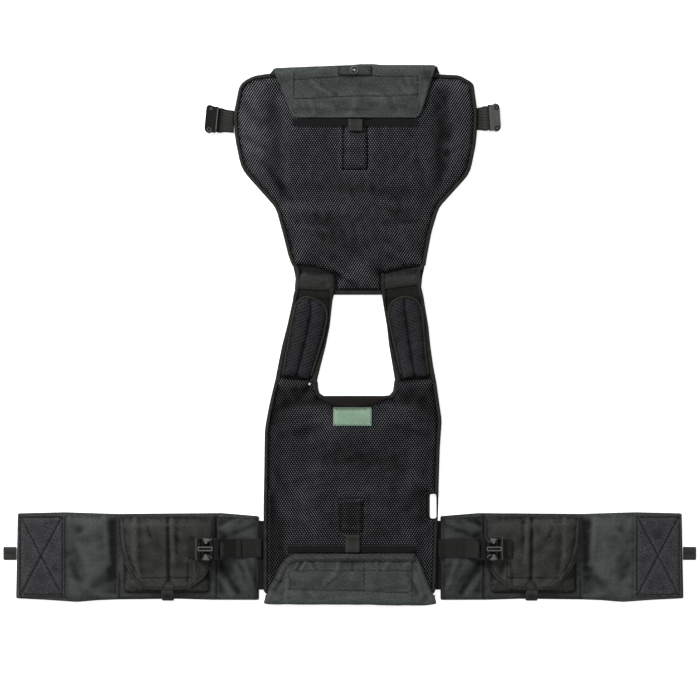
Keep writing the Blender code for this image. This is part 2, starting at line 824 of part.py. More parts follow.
def make_chest_strap(side, at):
    """Webbing sewn to the panel's edge and looped round the bar of an open buckle socket."""
    low = WEB_T / 2
    bar_low = WEB_T + GAP
    high = bar_low + BAR_T + GAP + WEB_T / 2
    bar_from, bar_to = CHEST_BAR
    doubled = WEB_T * 1.5 + GAP + 0.1
    edge = at[3]
    path = [(edge - 1.0, low), (18.0, low)] + bar_loop(bar_to, low, high)
    path += [(bar_from - 0.6, high - 0.1), (22.0, 3.9), (16.0, doubled), (edge + 0.5, doubled)]

    def place(x, across_it, z):
        square = 1 - min(max((x - edge) / 16, 0), 1)  # its sewn end runs along the panel's edge
        level = across_it * math.tan(math.radians(at[2])) * square
        return turned([(x + level, across_it, z)], at)[0]

    web("chest_strap_" + side, path, CHEST_WEB_W, place)
    make_chest_socket(side, at, bar_low)


def make_chest_socket(side, at, bar_low):
    """The socket half of a side release buckle: bar, webbing slot, side windows, open mouth."""
    start, end = CHEST_BUCKLE
    mouth, waist = MOUTH_W / 2, WAIST_W / 2
    rows = [
        (start, -waist - 0.6, 0),
        (start + 10, -waist, 20),
        (end - 6.5, -mouth, 5),
        (end, -mouth, 4),
        (end, mouth, 4),
        (end - 6.5, mouth, 5),
        (start + 10, waist, 20),
        (start, waist + 0.6, 0),
    ]

    def placed(loop):
        return [p.xy for p in turned([(q.x, q.y, 0) for q in loop], at)]

    outline = placed(rounded(rows, turn=30))
    body = prism("chest_buckle_" + side, outline, 0, CHEST_BUCKLE_T, "buckle_plastic", 1.0)
    room_low = (CHEST_BUCKLE_T - SOCKET_T) / 2
    open_half = CHEST_WEB_W / 2 + 0.8
    cuts = [
        (rectangle((start - 5, -open_half, CHEST_SLOT_END, open_half)), -5, 30),
        (rectangle((SOCKET_FROM, -SOCKET_W / 2, end + 5, SOCKET_W / 2)), room_low, room_low + SOCKET_T),
        (rectangle((SOCKET_FROM + 1, -40, end - 4, 40)), room_low + 0.5, room_low + SOCKET_T - 0.5),
    ]
    for number, (loop, low, high) in enumerate(cuts):
        cutter = prism(f"chest_cutter_{side}_{number}", placed(loop), low, high, None)
        combine(body, cutter, "DIFFERENCE")
    bar = rectangle((CHEST_BAR[0], -open_half - 0.7, CHEST_BAR[1], open_half + 0.7), 0)
    combine(body, prism("chest_bar_" + side, placed(bar), bar_low, bar_low + BAR_T, None), "UNION")


def mirrored(points):
    """Points of the left wing moved to the right one."""
    return [Vector((-p.x, *p[1:])) for p in points]


def wing_loop(rows, side, turn=18):
    loop = rounded(rows, turn=turn)
    area = sum(a.x * b.y - b.x * a.y for a, b in zip(loop, loop[1:] + loop[:1]))
    if area < 0:
        loop.reverse()
    return loop if side == "left" else list(reversed(mirrored(loop)))


def wing_box(box, side, radius=1.5):
    loop = rectangle(box, radius)
    return loop if side == "left" else list(reversed(mirrored(loop)))


def wing_height(x, y):
    """The thickness of a padded wing, thin at its edge and at its folds."""
    across = min(-311.0 - y, y + 464.0)
    along = min(x + 588.0, -157.0 - x)
    swell = ease(min(across, along) / 22)
    return WING_T - 1.4 + 1.4 * swell + folds(x, y, WING_FOLDS) * ease(across / 26) * ease(along / 26)


def pouch_base(x, y):
    """The height of the pouch wall over the wing, nothing at its sewn sides, open at the top."""
    sides = ease((x - POUCH[0]) / POUCH_RISE) * ease((POUCH[2] - x) / POUCH_RISE_IN)
    mouth = POUCH_MOUTH + (1 - POUCH_MOUTH) * ease((POUCH[3] - y) / POUCH_RISE)
    return POUCH_HIGH * sides * mouth * ease((y - POUCH[1]) / POUCH_RISE)


def make_wing(side):
    """One wing of the waist belt, with its hook pad, pull tab and pouch."""
    sign = 1 if side == "left" else -1
    outline = wing_loop(WING_EDGE, side)

    def height(x, y):
        return wing_height(sign * x, y)

    wing = slab("wing_" + side, outline, 25, lambda x, y: 0.0, height, "shell_cloth")
    tongue = prism("tongue_" + side, wing_box(TONGUE, side), RIM_BASE, RIM_BASE + TONGUE_T, None)
    combine(wing, tongue, "UNION")
    on_wing = Surface([wing])
    lay("wing_hook_pad_" + side, wing_box(HOOK_PAD, side), 26, on_wing, HOOK_PAD[4], "hook_and_loop", 9)
    prism("wing_tab_" + side, wing_box(WING_TAB, side, 1), 0, WING_TAB[4], "webbing")
    body = slab(
        "pouch_body_" + side,
        wing_box(POUCH, side, 9),
        15,
        lambda x, y: on_wing.at(x, y, 8) + GAP + pouch_base(sign * x, y),
        POUCH_T,
        "pouch_cloth",
    )
    under = Surface([wing, body])
    outline = wing_loop(POUCH_FLAP, side)
    flap = lay("pouch_flap_" + side, outline, 16, under, POUCH_FLAP_T, "pouch_cloth", 9, [POUCH[3] + 5])
    lay("pouch_tab_" + side, wing_box(POUCH_TAB, side), 9, under, POUCH_TAB[4], "webbing", 8)
    make_side_buckle(side, sign, Surface([flap, wing]))


def make_side_buckle(side, sign, under):
    """The fastened side buckle on the pouch flap, with the webbing to either side of it."""
    half = SIDE_BUCKLE_W / 2
    x0, x1 = SIDE_SOCKET
    y0, y1 = SIDE_Y - half, SIDE_Y + half
    places = [(SIDE_TAB_END + 5.0 * i, SIDE_Y + half * j / 4) for i in range(10) for j in range(-4, 5)]
    seat = max(under.at(sign * x, y) for x, y in places) + GAP
    outline = wing_box((x0, y0, x1, y1), side, 4)
    body = prism("side_socket_" + side, outline, seat, seat + SIDE_BUCKLE_T, "buckle_plastic", 1.0)
    cuts = [
        ((x0 - 5, y0 + 3.2, x0 + 9, y1 - 3.2), seat - 5, seat + 30),
        ((x0 + 11, y0 + 4, x1 + 5, y1 - 4), seat + 2.3, seat + 7.3),
        ((x0 + 12.5, y0 + 5, x0 + 23, y0 + 14), seat + 4, seat + 30),
        ((x0 + 12.5, y1 - 14, x0 + 23, y1 - 5), seat + 4, seat + 30),
    ]
    for number, (box, low, high) in enumerate(cuts):
        cutter = prism(f"side_cutter_{side}_{number}", wing_box(box, side, 0.8), low, high, None)
        combine(body, cutter, "DIFFERENCE")
    bar_low = seat + WEB_T + GAP
    bar = wing_box((SIDE_BAR[0], y0 + 2, SIDE_BAR[1], y1 - 2), side, 0)
    combine(body, prism("side_bar_" + side, bar, bar_low, bar_low + BAR_T, None), "UNION")
    low, high = seat + WEB_T / 2, bar_low + BAR_T + GAP + WEB_T / 2
    doubled = low + WEB_T + GAP + 0.1
    path = [(SIDE_TAB_END, low)] + bar_loop(SIDE_BAR[1], low, high)
    path += [(SIDE_BAR[0] - 0.6, high - 0.1), (SIDE_BAR[0] - 8, doubled), (SIDE_TAB_END, doubled)]

    def place(x, across_it, z):
        return Vector((sign * x, SIDE_Y + across_it, z))

    web("side_tab_" + side, path, SIDE_WEB_W, place)
    make_side_plug(side, seat, bar_low)
    make_side_strap(side, sign, under, low, high)


def make_side_plug(side, seat, bar_low):
    """The plug in the side socket: a base with a bar, a middle guide and two sprung arms."""
    half = SIDE_BUCKLE_W / 2
    x0, x1 = SIDE_PLUG
    arm, tip = half - 5.2, x0 - 16
    rows = [
        (x0 + 3, SIDE_Y + arm, 0),
        (tip, SIDE_Y + arm, 2),
        (tip, SIDE_Y + arm - 4.5, 2),
        (x0 - 2, SIDE_Y + arm - 4.5, 1),
        (x0 - 2, SIDE_Y + 3, 1),
        (tip + 1, SIDE_Y + 3, 1),
        (tip + 1, SIDE_Y - 3, 1),
        (x0 - 2, SIDE_Y - 3, 1),
        (x0 - 2, SIDE_Y - arm + 4.5, 1),
        (tip, SIDE_Y - arm + 4.5, 2),
        (tip, SIDE_Y - arm, 2),
        (x0 + 3, SIDE_Y - arm, 0),
    ]
    plug = prism("side_plug_" + side, wing_loop(rows, side, 45), seat + 2.8, seat + 6.8, "buckle_plastic")
    edge = wing_box((x0, SIDE_Y - half + 0.4, x1, SIDE_Y + half - 0.4), side, 3)
    base = prism("plug_base_" + side, edge, seat + 0.3, seat + SIDE_BUCKLE_T - 0.3, None, 0.8)
    combine(plug, base, "UNION")
    inner = half - 3.4
    slot = wing_box((x0 + 8.6, SIDE_Y - inner, x1 + 5, SIDE_Y + inner), side, 0.8)
    combine(plug, prism("plug_slot_" + side, slot, seat - 5, seat + 30, None), "DIFFERENCE")
    bar = wing_box((PLUG_BAR[0], SIDE_Y - inner - 0.8, PLUG_BAR[1], SIDE_Y + inner + 0.8), side, 0)
    combine(plug, prism("plug_bar_" + side, bar, bar_low, bar_low + BAR_T, None), "UNION")


def make_side_strap(side, sign, under, low, high):
    """Webbing from the back panel's edge over the wing, round the plug's bar, and back."""

    def on_wing(x):
        return max(under.at(sign * x, SIDE_Y + dy, 5) for dy in (-12, 0, 12)) + GAP + WEB_T / 2

    lying = [(x, on_wing(x)) for x in (SIDE_WEB_START, -166, -178, SIDE_WEB_TAIL, -202)]
    path = [(-x, z) for x, z in lying] + bar_loop(-PLUG_BAR[0], low, high)
    doubled = WEB_T + GAP + 0.15
    path += [(-PLUG_BAR[1] - 0.6, high - 0.1), (-lying[4][0] + 1.4, lying[4][1] + doubled)]
    path += [(-SIDE_WEB_TAIL, lying[3][1] + doubled)]

    def place(away, across_it, z):
        return Vector((-sign * away, SIDE_Y + across_it, z))

    web("side_strap_" + side, path, SIDE_WEB_W, place)


def main():
    for old in list(bpy.data.objects):
        bpy.data.objects.remove(old)
    front = list(make_front_panel())
    back = list(make_back_panel())
    make_panel_trim(front, back)
    make_flap("front_flap", FRONT_FLAP_ROWS, FRONT_FOLD, FRONT_FLARE, Surface(front))
    make_flap("back_flap", BACK_FLAP_ROWS, BACK_FOLD, BACK_FLARE, Surface(back))
    make_snap()
    make_shoulder("left", LEFT_STRAP, LEFT_PAD, LEFT_KEEPER)
    make_shoulder("right", RIGHT_STRAP, RIGHT_PAD, RIGHT_KEEPER)
    make_chest_strap("left", CHEST_LEFT)
    make_chest_strap("right", CHEST_RIGHT)
    make_wing("left")
    make_wing("right")


main()
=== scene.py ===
"""The armour carrier vest's looks: cloth, mesh, webbing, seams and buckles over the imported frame.

Sizes in the tables are millimetres in the vest's own plan, X to the right and Y up the vest, as
in part.py. "Left" and "right" are as seen from above.
"""

import math

import bmesh
import bpy
import numpy as np
from mathutils.geometry import delaunay_2d_cdt
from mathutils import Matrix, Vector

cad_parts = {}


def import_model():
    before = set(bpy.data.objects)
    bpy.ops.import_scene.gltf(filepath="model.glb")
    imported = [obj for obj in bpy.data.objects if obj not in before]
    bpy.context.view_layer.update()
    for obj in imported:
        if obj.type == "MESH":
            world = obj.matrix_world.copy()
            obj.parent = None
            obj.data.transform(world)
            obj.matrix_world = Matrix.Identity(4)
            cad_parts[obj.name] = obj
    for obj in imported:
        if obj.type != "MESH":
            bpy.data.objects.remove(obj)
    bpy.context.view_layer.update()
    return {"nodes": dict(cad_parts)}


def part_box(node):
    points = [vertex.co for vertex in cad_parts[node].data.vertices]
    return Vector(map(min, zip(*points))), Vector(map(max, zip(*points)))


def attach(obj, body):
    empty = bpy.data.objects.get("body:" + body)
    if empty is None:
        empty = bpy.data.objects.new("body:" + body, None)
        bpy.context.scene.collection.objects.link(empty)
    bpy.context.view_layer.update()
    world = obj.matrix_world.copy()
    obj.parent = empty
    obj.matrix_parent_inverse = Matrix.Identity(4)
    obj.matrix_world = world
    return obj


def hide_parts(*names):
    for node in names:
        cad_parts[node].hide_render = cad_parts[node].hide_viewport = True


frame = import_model()

MM = 0.001
GAP = 0.35
SHELL_T = 1.4  # T stands for thickness here and below
RIM_BASE = SHELL_T + GAP
TAPE_W = 8.0
TAPE_H = 4.8
LINING_T = 3.6
LINING_INSET = TAPE_W + GAP
TUCK = 3.0  # how far a lining runs on under its edge tape
FRONT_DOME, BACK_DOME, DOME_RISE = 8.5, 8.0, 46.0
MOUTH_LIFT, PASSAGE_LIFT = 4.9, 1.9

# The panels' edges and ends: x, y, corner radius.
FRONT_EDGE = [
    (133, 121, 0), (136, 140, 60), (143.5, 180, 90), (156.5, 223, 45), (211, 283, 55), (222.5, 340, 110),
    (224, 390, 60), (217, 441, 14), (193, 455, 30), (158, 456.5, 40), (-141, 458, 40), (-170, 453.5, 40),
    (-193, 440, 30), (-204, 385, 60), (-201, 343, 110), (-190, 290, 62), (-129.5, 222, 45), (-117, 176, 90),
    (-107, 136, 60), (-101, 121, 0),
]
FRONT_SHELL_END = [(-95, 100, 20), (-97, 76, 4), (-30, 70, 8), (58, 70, 8), (125, 76, 4), (127, 100, 20)]
FRONT_LINING_END = [
    (-62, 119, 30), (-30, 109, 6), (-22.5, 103, 4), (-22.5, 78.4, 2), (54, 78.4, 2), (54, 108, 6),
    (95, 117.5, 40),
]
BACK_EDGE = [
    (-131, -80, 0), (-141, -122, 60), (-149, -165, 80), (-151, -300, 200), (-151, -456, 12),
    (150, -456, 12), (155, -300, 200), (158, -200, 100), (161.5, -150, 50), (156.8, -118, 50),
    (151.5, -80, 0),
]
BACK_SHELL_END = [(78, -80, 0), (76, -99, 10), (69, -107, 8), (-50, -107, 8), (-55, -99, 10), (-56, -80, 0)]
NECK_FACING = [
    (-55, -107.3, 1), (-55, -112, 6), (-30, -124, 40), (4, -130, 120), (44, -122, 40), (73, -110, 6),
    (73, -107.3, 1),
]
BACK_LINING_END = [
    (143.5, -75.4, 3), (83, -79.5, 3), (79.5, -92, 8), (77.5, -100, 8), (73.4, -110.4, 4), (44, -122.4, 40),
    (4, -130.4, 120), (-30, -124.4, 40), (-55.4, -112.4, 4), (-57.5, -100, 8), (-61, -92, 8), (-63, -80, 3),
    (-124, -74.6, 3),
]
GAP_AT_NECK = [(-72.5, -88.5), (-69, -88.5), (-68.5, -84), (-72, -84)]
SLOT = (140.5, -322, 151.8, -279)

# Soft folds and creases: from x, y to x, y, width, height.
FRONT_FOLDS = [
    (-136, 440, -130, 245, 20, -4.5), (164, 440, 158, 245, 20, -4.5), (-190, 400, -158, 372, 16, -2.0),
    (196, 385, 176, 352, 16, -2.0), (-105, 205, 120, 212, 24, -2.0), (-80, 150, 95, 165, 26, 1.5),
    (-30, 125, 8, 92, 16, -2.0),
]
FRONT_CREASES = [
    (-196, 352, -150, 330, 7, -1.0), (-192, 330, -152, 312, 6, 0.8), (-178, 420, -150, 385, 9, 1.2),
    (-152, 300, -120, 262, 8, -1.0), (204, 332, 170, 318, 7, -0.9), (190, 305, 168, 276, 8, 0.8),
    (-100, 250, 60, 236, 12, 1.0), (-110, 228, 110, 226, 9, 0.8), (120, 300, 132, 240, 10, -0.9),
    (-92, 190, -40, 182, 7, 0.6), (60, 196, 120, 200, 7, -0.6), (-46, 132, -4, 96, 6, 0.9),
    (66, 150, 108, 128, 8, 0.8),
]
BACK_FOLDS = [
    (-118, -118, -66, -112, 15, -2.5), (142, -112, 88, -110, 15, -2.5), (-120, -160, -45, -146, 20, 2.0),
    (130, -158, 60, -146, 20, 2.0), (-95, -250, 95, -262, 34, 1.5), (-124, -430, -124, -330, 16, -2.0),
    (124, -430, 124, -330, 16, -2.0),
]
BACK_CREASES = [
    (-126, -142, -60, -128, 9, 1.4), (-120, -176, -50, -160, 10, -1.0), (132, -140, 74, -124, 9, 1.4),
    (138, -176, 78, -158, 10, -1.0), (-60, -232, 70, -240, 14, 0.8), (-96, -402, -40, -388, 9, -1.0),
    (100, -400, 44, -388, 9, -1.0), (-40, -300, 50, -306, 12, 0.9), (-126, -240, -96, -300, 12, -0.8),
    (128, -240, 102, -300, 12, -0.8),
]

# Flaps: y, left x, right x, from the fold to the free end.
FRONT_FLAP_ROWS = [
    (468, -132, 149.5), (459, -129, 146.5), (392, -105, 126), (384, -101, 122), (379, -94, 116),
]
BACK_FLAP_ROWS = [
    (-468, -150, 151), (-456, -146, 146), (-402, -121, 124), (-390, -111, 119), (-383, -95, 112),
]
FLAP_T = 2.2
# The outermost line of each fold: x, y; and how far the hem under the flap spreads past it.
FRONT_FOLD = [(-140, 467), (0, 472.4), (18, 474.2), (40, 474.2), (56, 472.6), (160, 472.6)]
BACK_FOLD = [
    (-152, -471.5), (-129, -472.6), (0, -472.6), (60, -473.8), (85, -474.2), (132, -474.2), (152, -471.5),
]
FRONT_FLARE, BACK_FLARE = 8.0, -2.0

# Small pieces: lowest x, lowest y, highest x, highest y, thickness.
FRONT_STRIP = (-100, 364, 119, 377.2, 1.6)
FRONT_PATCH = (-11, 290, 30, 351, 1.8)
FRONT_TAB = (-3, 355, 23, 377.2, 3.2)
SNAP_PATCH = (-21, 452, 38, 469.5, 1.8)
SNAP_AT = (8, 462)
BACK_STRIP = (-110, -380.6, 115, -368, 1.6)
BACK_PATCH = (-18, -345, 22, -286, 1.8)
BACK_TAB = (-8, -380.6, 18, -349, 3.2)
LABEL = (-29, -159, 38, -127, 0.7)

# Shoulders. Straps: y, outer x, inner x. Pads: outer y, inner y, outer x, inner x.
LEFT_STRAP = [
    (103, -90, -37), (92, -92, -31), (69, -99, -29), (63.5, -100, -30), (15, -110, -35), (-20, -119, -42),
    (-55, -126, -51), (-79.5, -130, -57),
]
RIGHT_STRAP = [
    (103, 121.5, 64), (92, 122.5, 59), (69, 129, 56), (63.5, 130, 57), (15, 138, 65), (-20, 141.5, 69),
    (-55, 146.5, 75), (-79.5, 150.5, 79),
]
STRAP_T = 4.2
LEFT_PAD = [
    (62.8, 61, -80, -64), (60, 56, -90, -50), (53, 47, -98, -38), (36, 30, -104, -35.7), (0, -6, -112.5, -41),
    (-40, -46, -121.5, -50.5), (-73, -79, -127.3, -59),
]
RIGHT_PAD = [
    (62.8, 61.5, 104, 86), (60, 57, 118, 74), (53, 48, 126, 66), (36, 34, 132.8, 63.7), (0, 0, 138, 68.5),
    (-40, -42, 142.8, 74.6), (-74, -78, 147.8, 80.5),
]
# How far inside a pad's outline its mesh begins: y, at the outer edge, at the inner edge.
PAD_BANDS = [(70, 3.5, 3.5), (50, 4.5, 4.0), (27, 7.5, 5.0), (-43, 10.5, 10.0), (-80, 10.5, 12.0)]
PAD_RIM, PAD_CROWN, PAD_SEAM = 3.0, 8.0, 1.7
# The bindings along the straps' edges: x, y, width, height; each runs with the strap on its left.
LEFT_OUTER = [
    (-101, 123, 6.5, 6.9), (-94.5, 112, 7, 8.8), (-93.5, 88, 7, 8.8), (-99, 69, 7, 7.2), (-100, 60, 6, 5.5),
    (-110, 15, 6.5, 5.3), (-119, -20, 8, 5.3), (-126, -55, 8.5, 5.3), (-130, -76, 8, 6.2),
    (-131.5, -84, 7, 6.5),
]
LEFT_INNER = [
    (-49, -109, 4, 6.0), (-55.5, -102, 6, 6.4), (-57, -90, 9, 6.6), (-57, -79.5, 10, 6.4),
    (-51, -55, 8.5, 5.4), (-42, -20, 5, 5.3), (-35, 15, 3.8, 5.3), (-30, 60, 4.5, 5.5), (-27, 72, 9, 7.4),
    (-24.5, 84, 13, 8.8), (-25, 98, 13.5, 8.8), (-27.5, 106.5, 13, 8.6),
]
RIGHT_OUTER = [
    (152, -84, 7, 6.5), (150.5, -76, 8, 6.2), (146.5, -55, 8.5, 5.3), (141.5, -20, 8, 5.3),
    (138, 15, 6.5, 5.3), (130.5, 60, 6, 5.5), (129, 69, 7, 7.2), (124.5, 88, 7, 8.8), (123.5, 110, 7, 8.8),
    (133, 123, 6.5, 6.9),
]
RIGHT_INNER = [
    (54.5, 108, 6.5, 8.4), (54.2, 98, 7, 8.7), (54.2, 84, 7, 8.7), (56, 72, 8, 7.4), (57.5, 60, 5, 5.5),
    (65, 15, 4, 5.3), (69, -20, 5.5, 5.3), (75, -55, 8.5, 5.4), (79, -79.5, 10, 6.4), (79, -90, 9, 6.6),
    (77, -102, 6, 6.4), (70, -109, 4, 6.0),
]
LEFT_KEEPER = [(-94, 80), (-26, 77), (-31, 104), (-90, 114)]
RIGHT_KEEPER = [(58, 79), (124, 88), (122, 119), (60, 105)]
KEEPER_T = 1.6

# Chest webbing: anchor x, y, turn in degrees, and how far out the panel's edge is.
CHEST_LEFT = (-203.9, 373.5, 174.5, 0)
CHEST_RIGHT = (214.5, 377.5, 4, 9.7)
WEB_T, BAR_T = 1.5, 2.6
CHEST_WEB_W = 39.0
CHEST_BAR = (28.6, 31.4)

# Wings, drawn for the left side: x, y, corner radius.
WING_EDGE = [
    (-585, -462, 2), (-582, -313, 2), (-499, -311, 60), (-407, -314, 60), (-225, -312.5, 20), (-159, -318, 2),
    (-159, -464.8, 2), (-240, -464.6, 40), (-300, -462.8, 60), (-407, -464, 40), (-440, -465.2, 40),
    (-478, -468.4, 40), (-530, -464.8, 40),
]
WING_T = 5.0
WING_TIP, WING_ROOT = -588, -157
WING_FOLDS = [
    (-416, -330, -418, -450, 12, -2.0), (-455, -330, -450, -400, 24, 2.6), (-480, -448, -430, -405, 14, 1.6),
    (-212, -345, -175, -322, 12, 1.8), (-200, -398, -172, -448, 12, 1.8), (-225, -330, -224, -450, 9, -1.2),
]
WING_CREASES = [
    (-492, -330, -460, -400, 9, 1.0), (-470, -352, -436, -330, 8, 0.9), (-486, -430, -440, -452, 8, 0.9),
    (-430, -318, -422, -400, 6, 1.2), (-498, -380, -470, -440, 8, -0.8), (-226, -340, -190, -322, 5, 1.2),
    (-216, -352, -172, -334, 6, -1.0), (-206, -400, -178, -440, 6, 1.4), (-226, -402, -196, -450, 6, -1.2),
    (-186, -398, -166, -452, 5, 1.0), (-228, -424, -206, -456, 5, 0.9),
]
# Painted shade on cloth and mesh, or painted light where the amount is below 0: from, to, width, amount.
FRONT_SHADES = [
    (-165, 430, -150, 330, 34, -0.22), (160, 430, 150, 300, 36, 0.22), (128, 440, 122, 405, 9, 0.5),
    (-128, 440, -104, 402, 4, 0.3), (-30, 230, 60, 226, 12, 0.2), (20, 212, 110, 222, 8, 0.15),
    (-112, 253, 110, 250, 13, 0.5), (-122, 222, 60, 214, 7, -0.6), (-105, 170, 95, 162, 30, 0.5),
    (-25, 108, 11, 86, 3.5, 0.9), (-18, 114, 20, 93, 4, -0.3), (-30, 70, 60, 72, 5, 0.3),
]
BACK_SHADES = [
    (-90, -95, -124, -134, 24, 0.5), (104, -95, 140, -134, 24, 0.5), (-140, -120, -140, -400, 34, 0.55),
    (-80, -215, 80, -220, 30, 0.22), (-90, -277, 60, -270, 11, -0.35), (-30, -330, 40, -340, 22, -0.06),
    (-128, -440, -110, -385, 9, 0.35), (-119, -71, -58, -83, 2.2, 0.9), (84, -82, 142, -76, 2.2, 0.9),
    (-118, -104, -58, -100, 7, 0.35), (84, -102, 134, -110, 7, 0.3), (0, -150, 0, -190, 60, -0.05),
]
KEEPER_SHADOWS = [(-98, 116, -30, 108, 16, 1.0), (52, 108, 126, 118, 16, 1.0)]
WING_SHADES = [
    (-411.5, -322, -411.5, -452, 2.4, 0.8), (-416, -325, -416, -425, 7, 0.42),
    (-418, -395, -432, -426, 9, 0.25), (-432, -426, -454, -450, 9, 0.3), (-477, -345, -477, -400, 8, 0.12),
    (-190, -325, -202, -343, 5, 0.3), (-202, -343, -220, -352, 6, 0.25), (-198, -396, -185, -426, 5, 0.4),
    (-185, -426, -169, -452, 5, 0.4), (-163, -385, -163, -460, 5, 0.6),
    (-233.5, -318, -233.5, -461, 1.5, 0.9), (-228, -318, -228, -461, 1.3, 0.4),
    (-405, -318, -405, -462, 1.4, 0.8), (-230, -322, -166, -326, 8, 0.45),
    (-404, -430, -404, -461, 1.8, 0.6), (-195, -330, -195, -450, 26, 0.12),
    (-300, -461.5, -470, -461.5, 2, 0.3), (-231, -395, -231, -450, 6, 0.3),
    (-163, -320, -163, -352, 4, 0.4), (-183, -326, -174, -332, 4, -0.3),
    (-450, -330, -446, -410, 24, -0.12), (-418, -436, -424, -446, 9, -0.12),
]
POUCH_SHADES = [
    (-376, -322, -375, -389, 3.5, -0.4), (-375, -389, -368, -425, 3.5, -0.35),
    (-390, -322, -386, -390, 7, 0.3), (-386, -390, -372, -425, 5, 0.3),
    (-311, -322, -309, -396, 3.5, -0.35), (-318, -320, -317, -424, 2.2, 0.5),
    (-353.4, -337, -348, -352, 2.5, 0.35), (-292, -330, -262, -400, 14, 0.15),
    (-340, -330, -340, -400, 12, -0.1), (-366, -330, -362, -420, 4, 0.2), (-340, -424, -280, -424, 2, 0.3),
    (-312, -320, -240, -325, 8, 0.32), (-306, -352, -290, -366, 2, 0.3), (-301, -366, -301, -398, 2, -0.25),
    (-384, -330, -380, -372, 2.2, -0.25), (-270, -340, -266, -392, 3, -0.2),
    (-258, -345, -256, -400, 3, 0.25),
]
HOOK_PAD = (-580.5, -458.5, -499.5, -316, 1.6)
TONGUE = (-166, -446.8, -117, -326)
WING_TAB = (-607.5, -395, -584.1, -372, 3.2)
POUCH = (-396, -452, -246, -330)
POUCH_T, POUCH_HIGH, POUCH_MOUTH, POUCH_RISE, POUCH_RISE_IN = 1.5, 8.0, 0.68, 24.0, 42.0
POUCH_FLAP = [
    (-407, -317, 3), (-405, -362, 90), (-395, -400, 70), (-372, -431, 60), (-358, -444, 14), (-318, -446, 90),
    (-280, -443, 20), (-252, -424, 60), (-239, -396, 60), (-236.5, -362, 60), (-236.5, -317, 3),
]
POUCH_FLAP_T = 2.0
POUCH_CREASES = [
    (-376, -320, -375, -389, 5, 1.5), (-375, -389, -368, -425, 5, 1.2), (-353.4, -337, -348, -352, 3, -0.6),
    (-318, -318, -316, -436, 4, -1.5), (-311, -322, -306, -396, 4, 1.3), (-303, -330, -303, -380, 5, -0.8),
    (-316, -424, -327, -444, 3, -1.3), (-316, -424, -304, -444, 3, -1.3), (-281, -400, -284, -440, 4, -1.0),
    (-268, -396, -262, -428, 7, -1.2), (-290, -330, -262, -352, 9, 0.9), (-392, -340, -390, -392, 5, -0.9),
]
# Painted shade on the pouches' walls, or painted light where the amount is below 0.
WALL_SHADES = [
    (-388, -437, -372, -447, 2.5, 0.5), (-380, -430, -366, -440, 3, -0.35),
    (-371, -442, -371, -451, 1.6, 0.5), (-366, -441, -366, -451, 1.6, -0.4),
    (-262, -432, -252, -446, 3, 0.5), (-272, -438, -262, -447, 2.5, -0.35),
    (-340, -447, -280, -449, 2, 0.3), (-284, -442, -282, -451, 1.6, 0.4),
    (-279, -442, -277, -451, 1.6, -0.3),
]
POUCH_TAB = (-329, -466, -308, -446.1, 2.4)

# The fastened side buckle and its webbing, on the left wing.
SIDE_Y = -373.0
SIDE_BAR = (-264.8, -262.2)
PLUG_BAR = (-224.6, -222)
# How far from the middle of the vest each buckle half is grey: from, to.
# The right chest buckle's grey is its own colour; the side sockets' grey end bars are painted highlights.
GREY_SPANS = {
    "left": {"chest_buckle": (0, 0), "side_socket": (264.5, 300), "side_plug": (0, 0)},
    "right": {"chest_buckle": (245, 300), "side_socket": (264.5, 300), "side_plug": (0, 0)},
}
# The chest sockets' extent along the strap and their width.
CHEST_BUCKLE = (27.0, 49.0, 49.2)
# Their anchor, and the radii of their lower and upper ends.
CHEST_ROUND = {"left": (CHEST_LEFT, 8.5, 5.0), "right": (CHEST_RIGHT, 8.5, 7.5)}
# The top shell over a chest socket's bar: where its pale lip starts and ends, and the shell's end.
CHEST_LIP = {"left": (27.8, 29.4, 37.4), "right": (30.2, 30.6, 37.4)}
# The round ends of the chest sockets: x, y, radius.
CHEST_EYES = {
    "left": [(-245.8, 358.6, 4.2), (-242.6, 395.0, 2.6)],
    "right": [(257.6, 361.4, 4.4), (256.7, 397.6, 4.0)],
}
SIDE_WEB_W = 32.0
SIDE_TAB_END, SIDE_WEB_TAIL, SIDE_WEB_START = -283.0, -190.0, -155.0


# Numbers and outlines.


def ease(t):
    """0 at t = 0, rising steeply and then levelling out to 1 at t = 1."""
    return 1 - (1 - np.clip(t, 0, 1)) ** 2


def smooth(t):
    """0 at t = 0 and 1 at t = 1, level at both ends."""
    t = np.clip(t, 0, 1)
    return t * t * (3 - 2 * t)


def bump(away, width):
    """1 where away is 0, fading to 0 on both sides."""
    return np.exp(-((away / width) ** 2))


def plateau(value, low, high, ramp):
    """1 between low and high, falling smoothly to 0 over ramp on either side."""
    return smooth(np.clip((value - low) / ramp + 1, 0, 1) * np.clip((high - value) / ramp + 1, 0, 1))


def rounded(rows, closed=True, turn=9.0):
    """The points of an outline whose corners, rows of x, y and radius, are rounded."""
    count, found = len(rows), []
    for i, (x, y, radius) in enumerate(rows):
        corner = np.array((x, y), float)
        if radius <= 0 or (not closed and i in (0, count - 1)):
            found.append(corner)
            continue
        before = np.array(rows[i - 1][:2]) - corner
        after = np.array(rows[(i + 1) % count][:2]) - corner
        far, near = np.hypot(*before), np.hypot(*after)
        bend = math.pi - math.acos(np.clip(before @ after / (far * near), -1, 1))
        reach = min(radius * math.tan(bend / 2), 0.48 * far, 0.48 * near)
        start, end = corner + before / far * reach, corner + after / near * reach
        for t in np.linspace(0, 1, max(2, round(math.degrees(bend) / turn) + 1)):
            found.append(start * (1 - t) ** 2 + corner * 2 * t * (1 - t) + end * t * t)
    return np.array(found)


def box_loop(box, radius=2.0):
    """A box's outline with round corners."""
    x0, y0, x1, y1 = box[:4]
    return rounded([(x0, y0, radius), (x1, y0, radius), (x1, y1, radius), (x0, y1, radius)])


def run_of(line):
    """How far each point of a line lies from its start, along it."""
    return np.concatenate([[0], np.cumsum(np.linalg.norm(np.diff(line, axis=0), axis=1))])


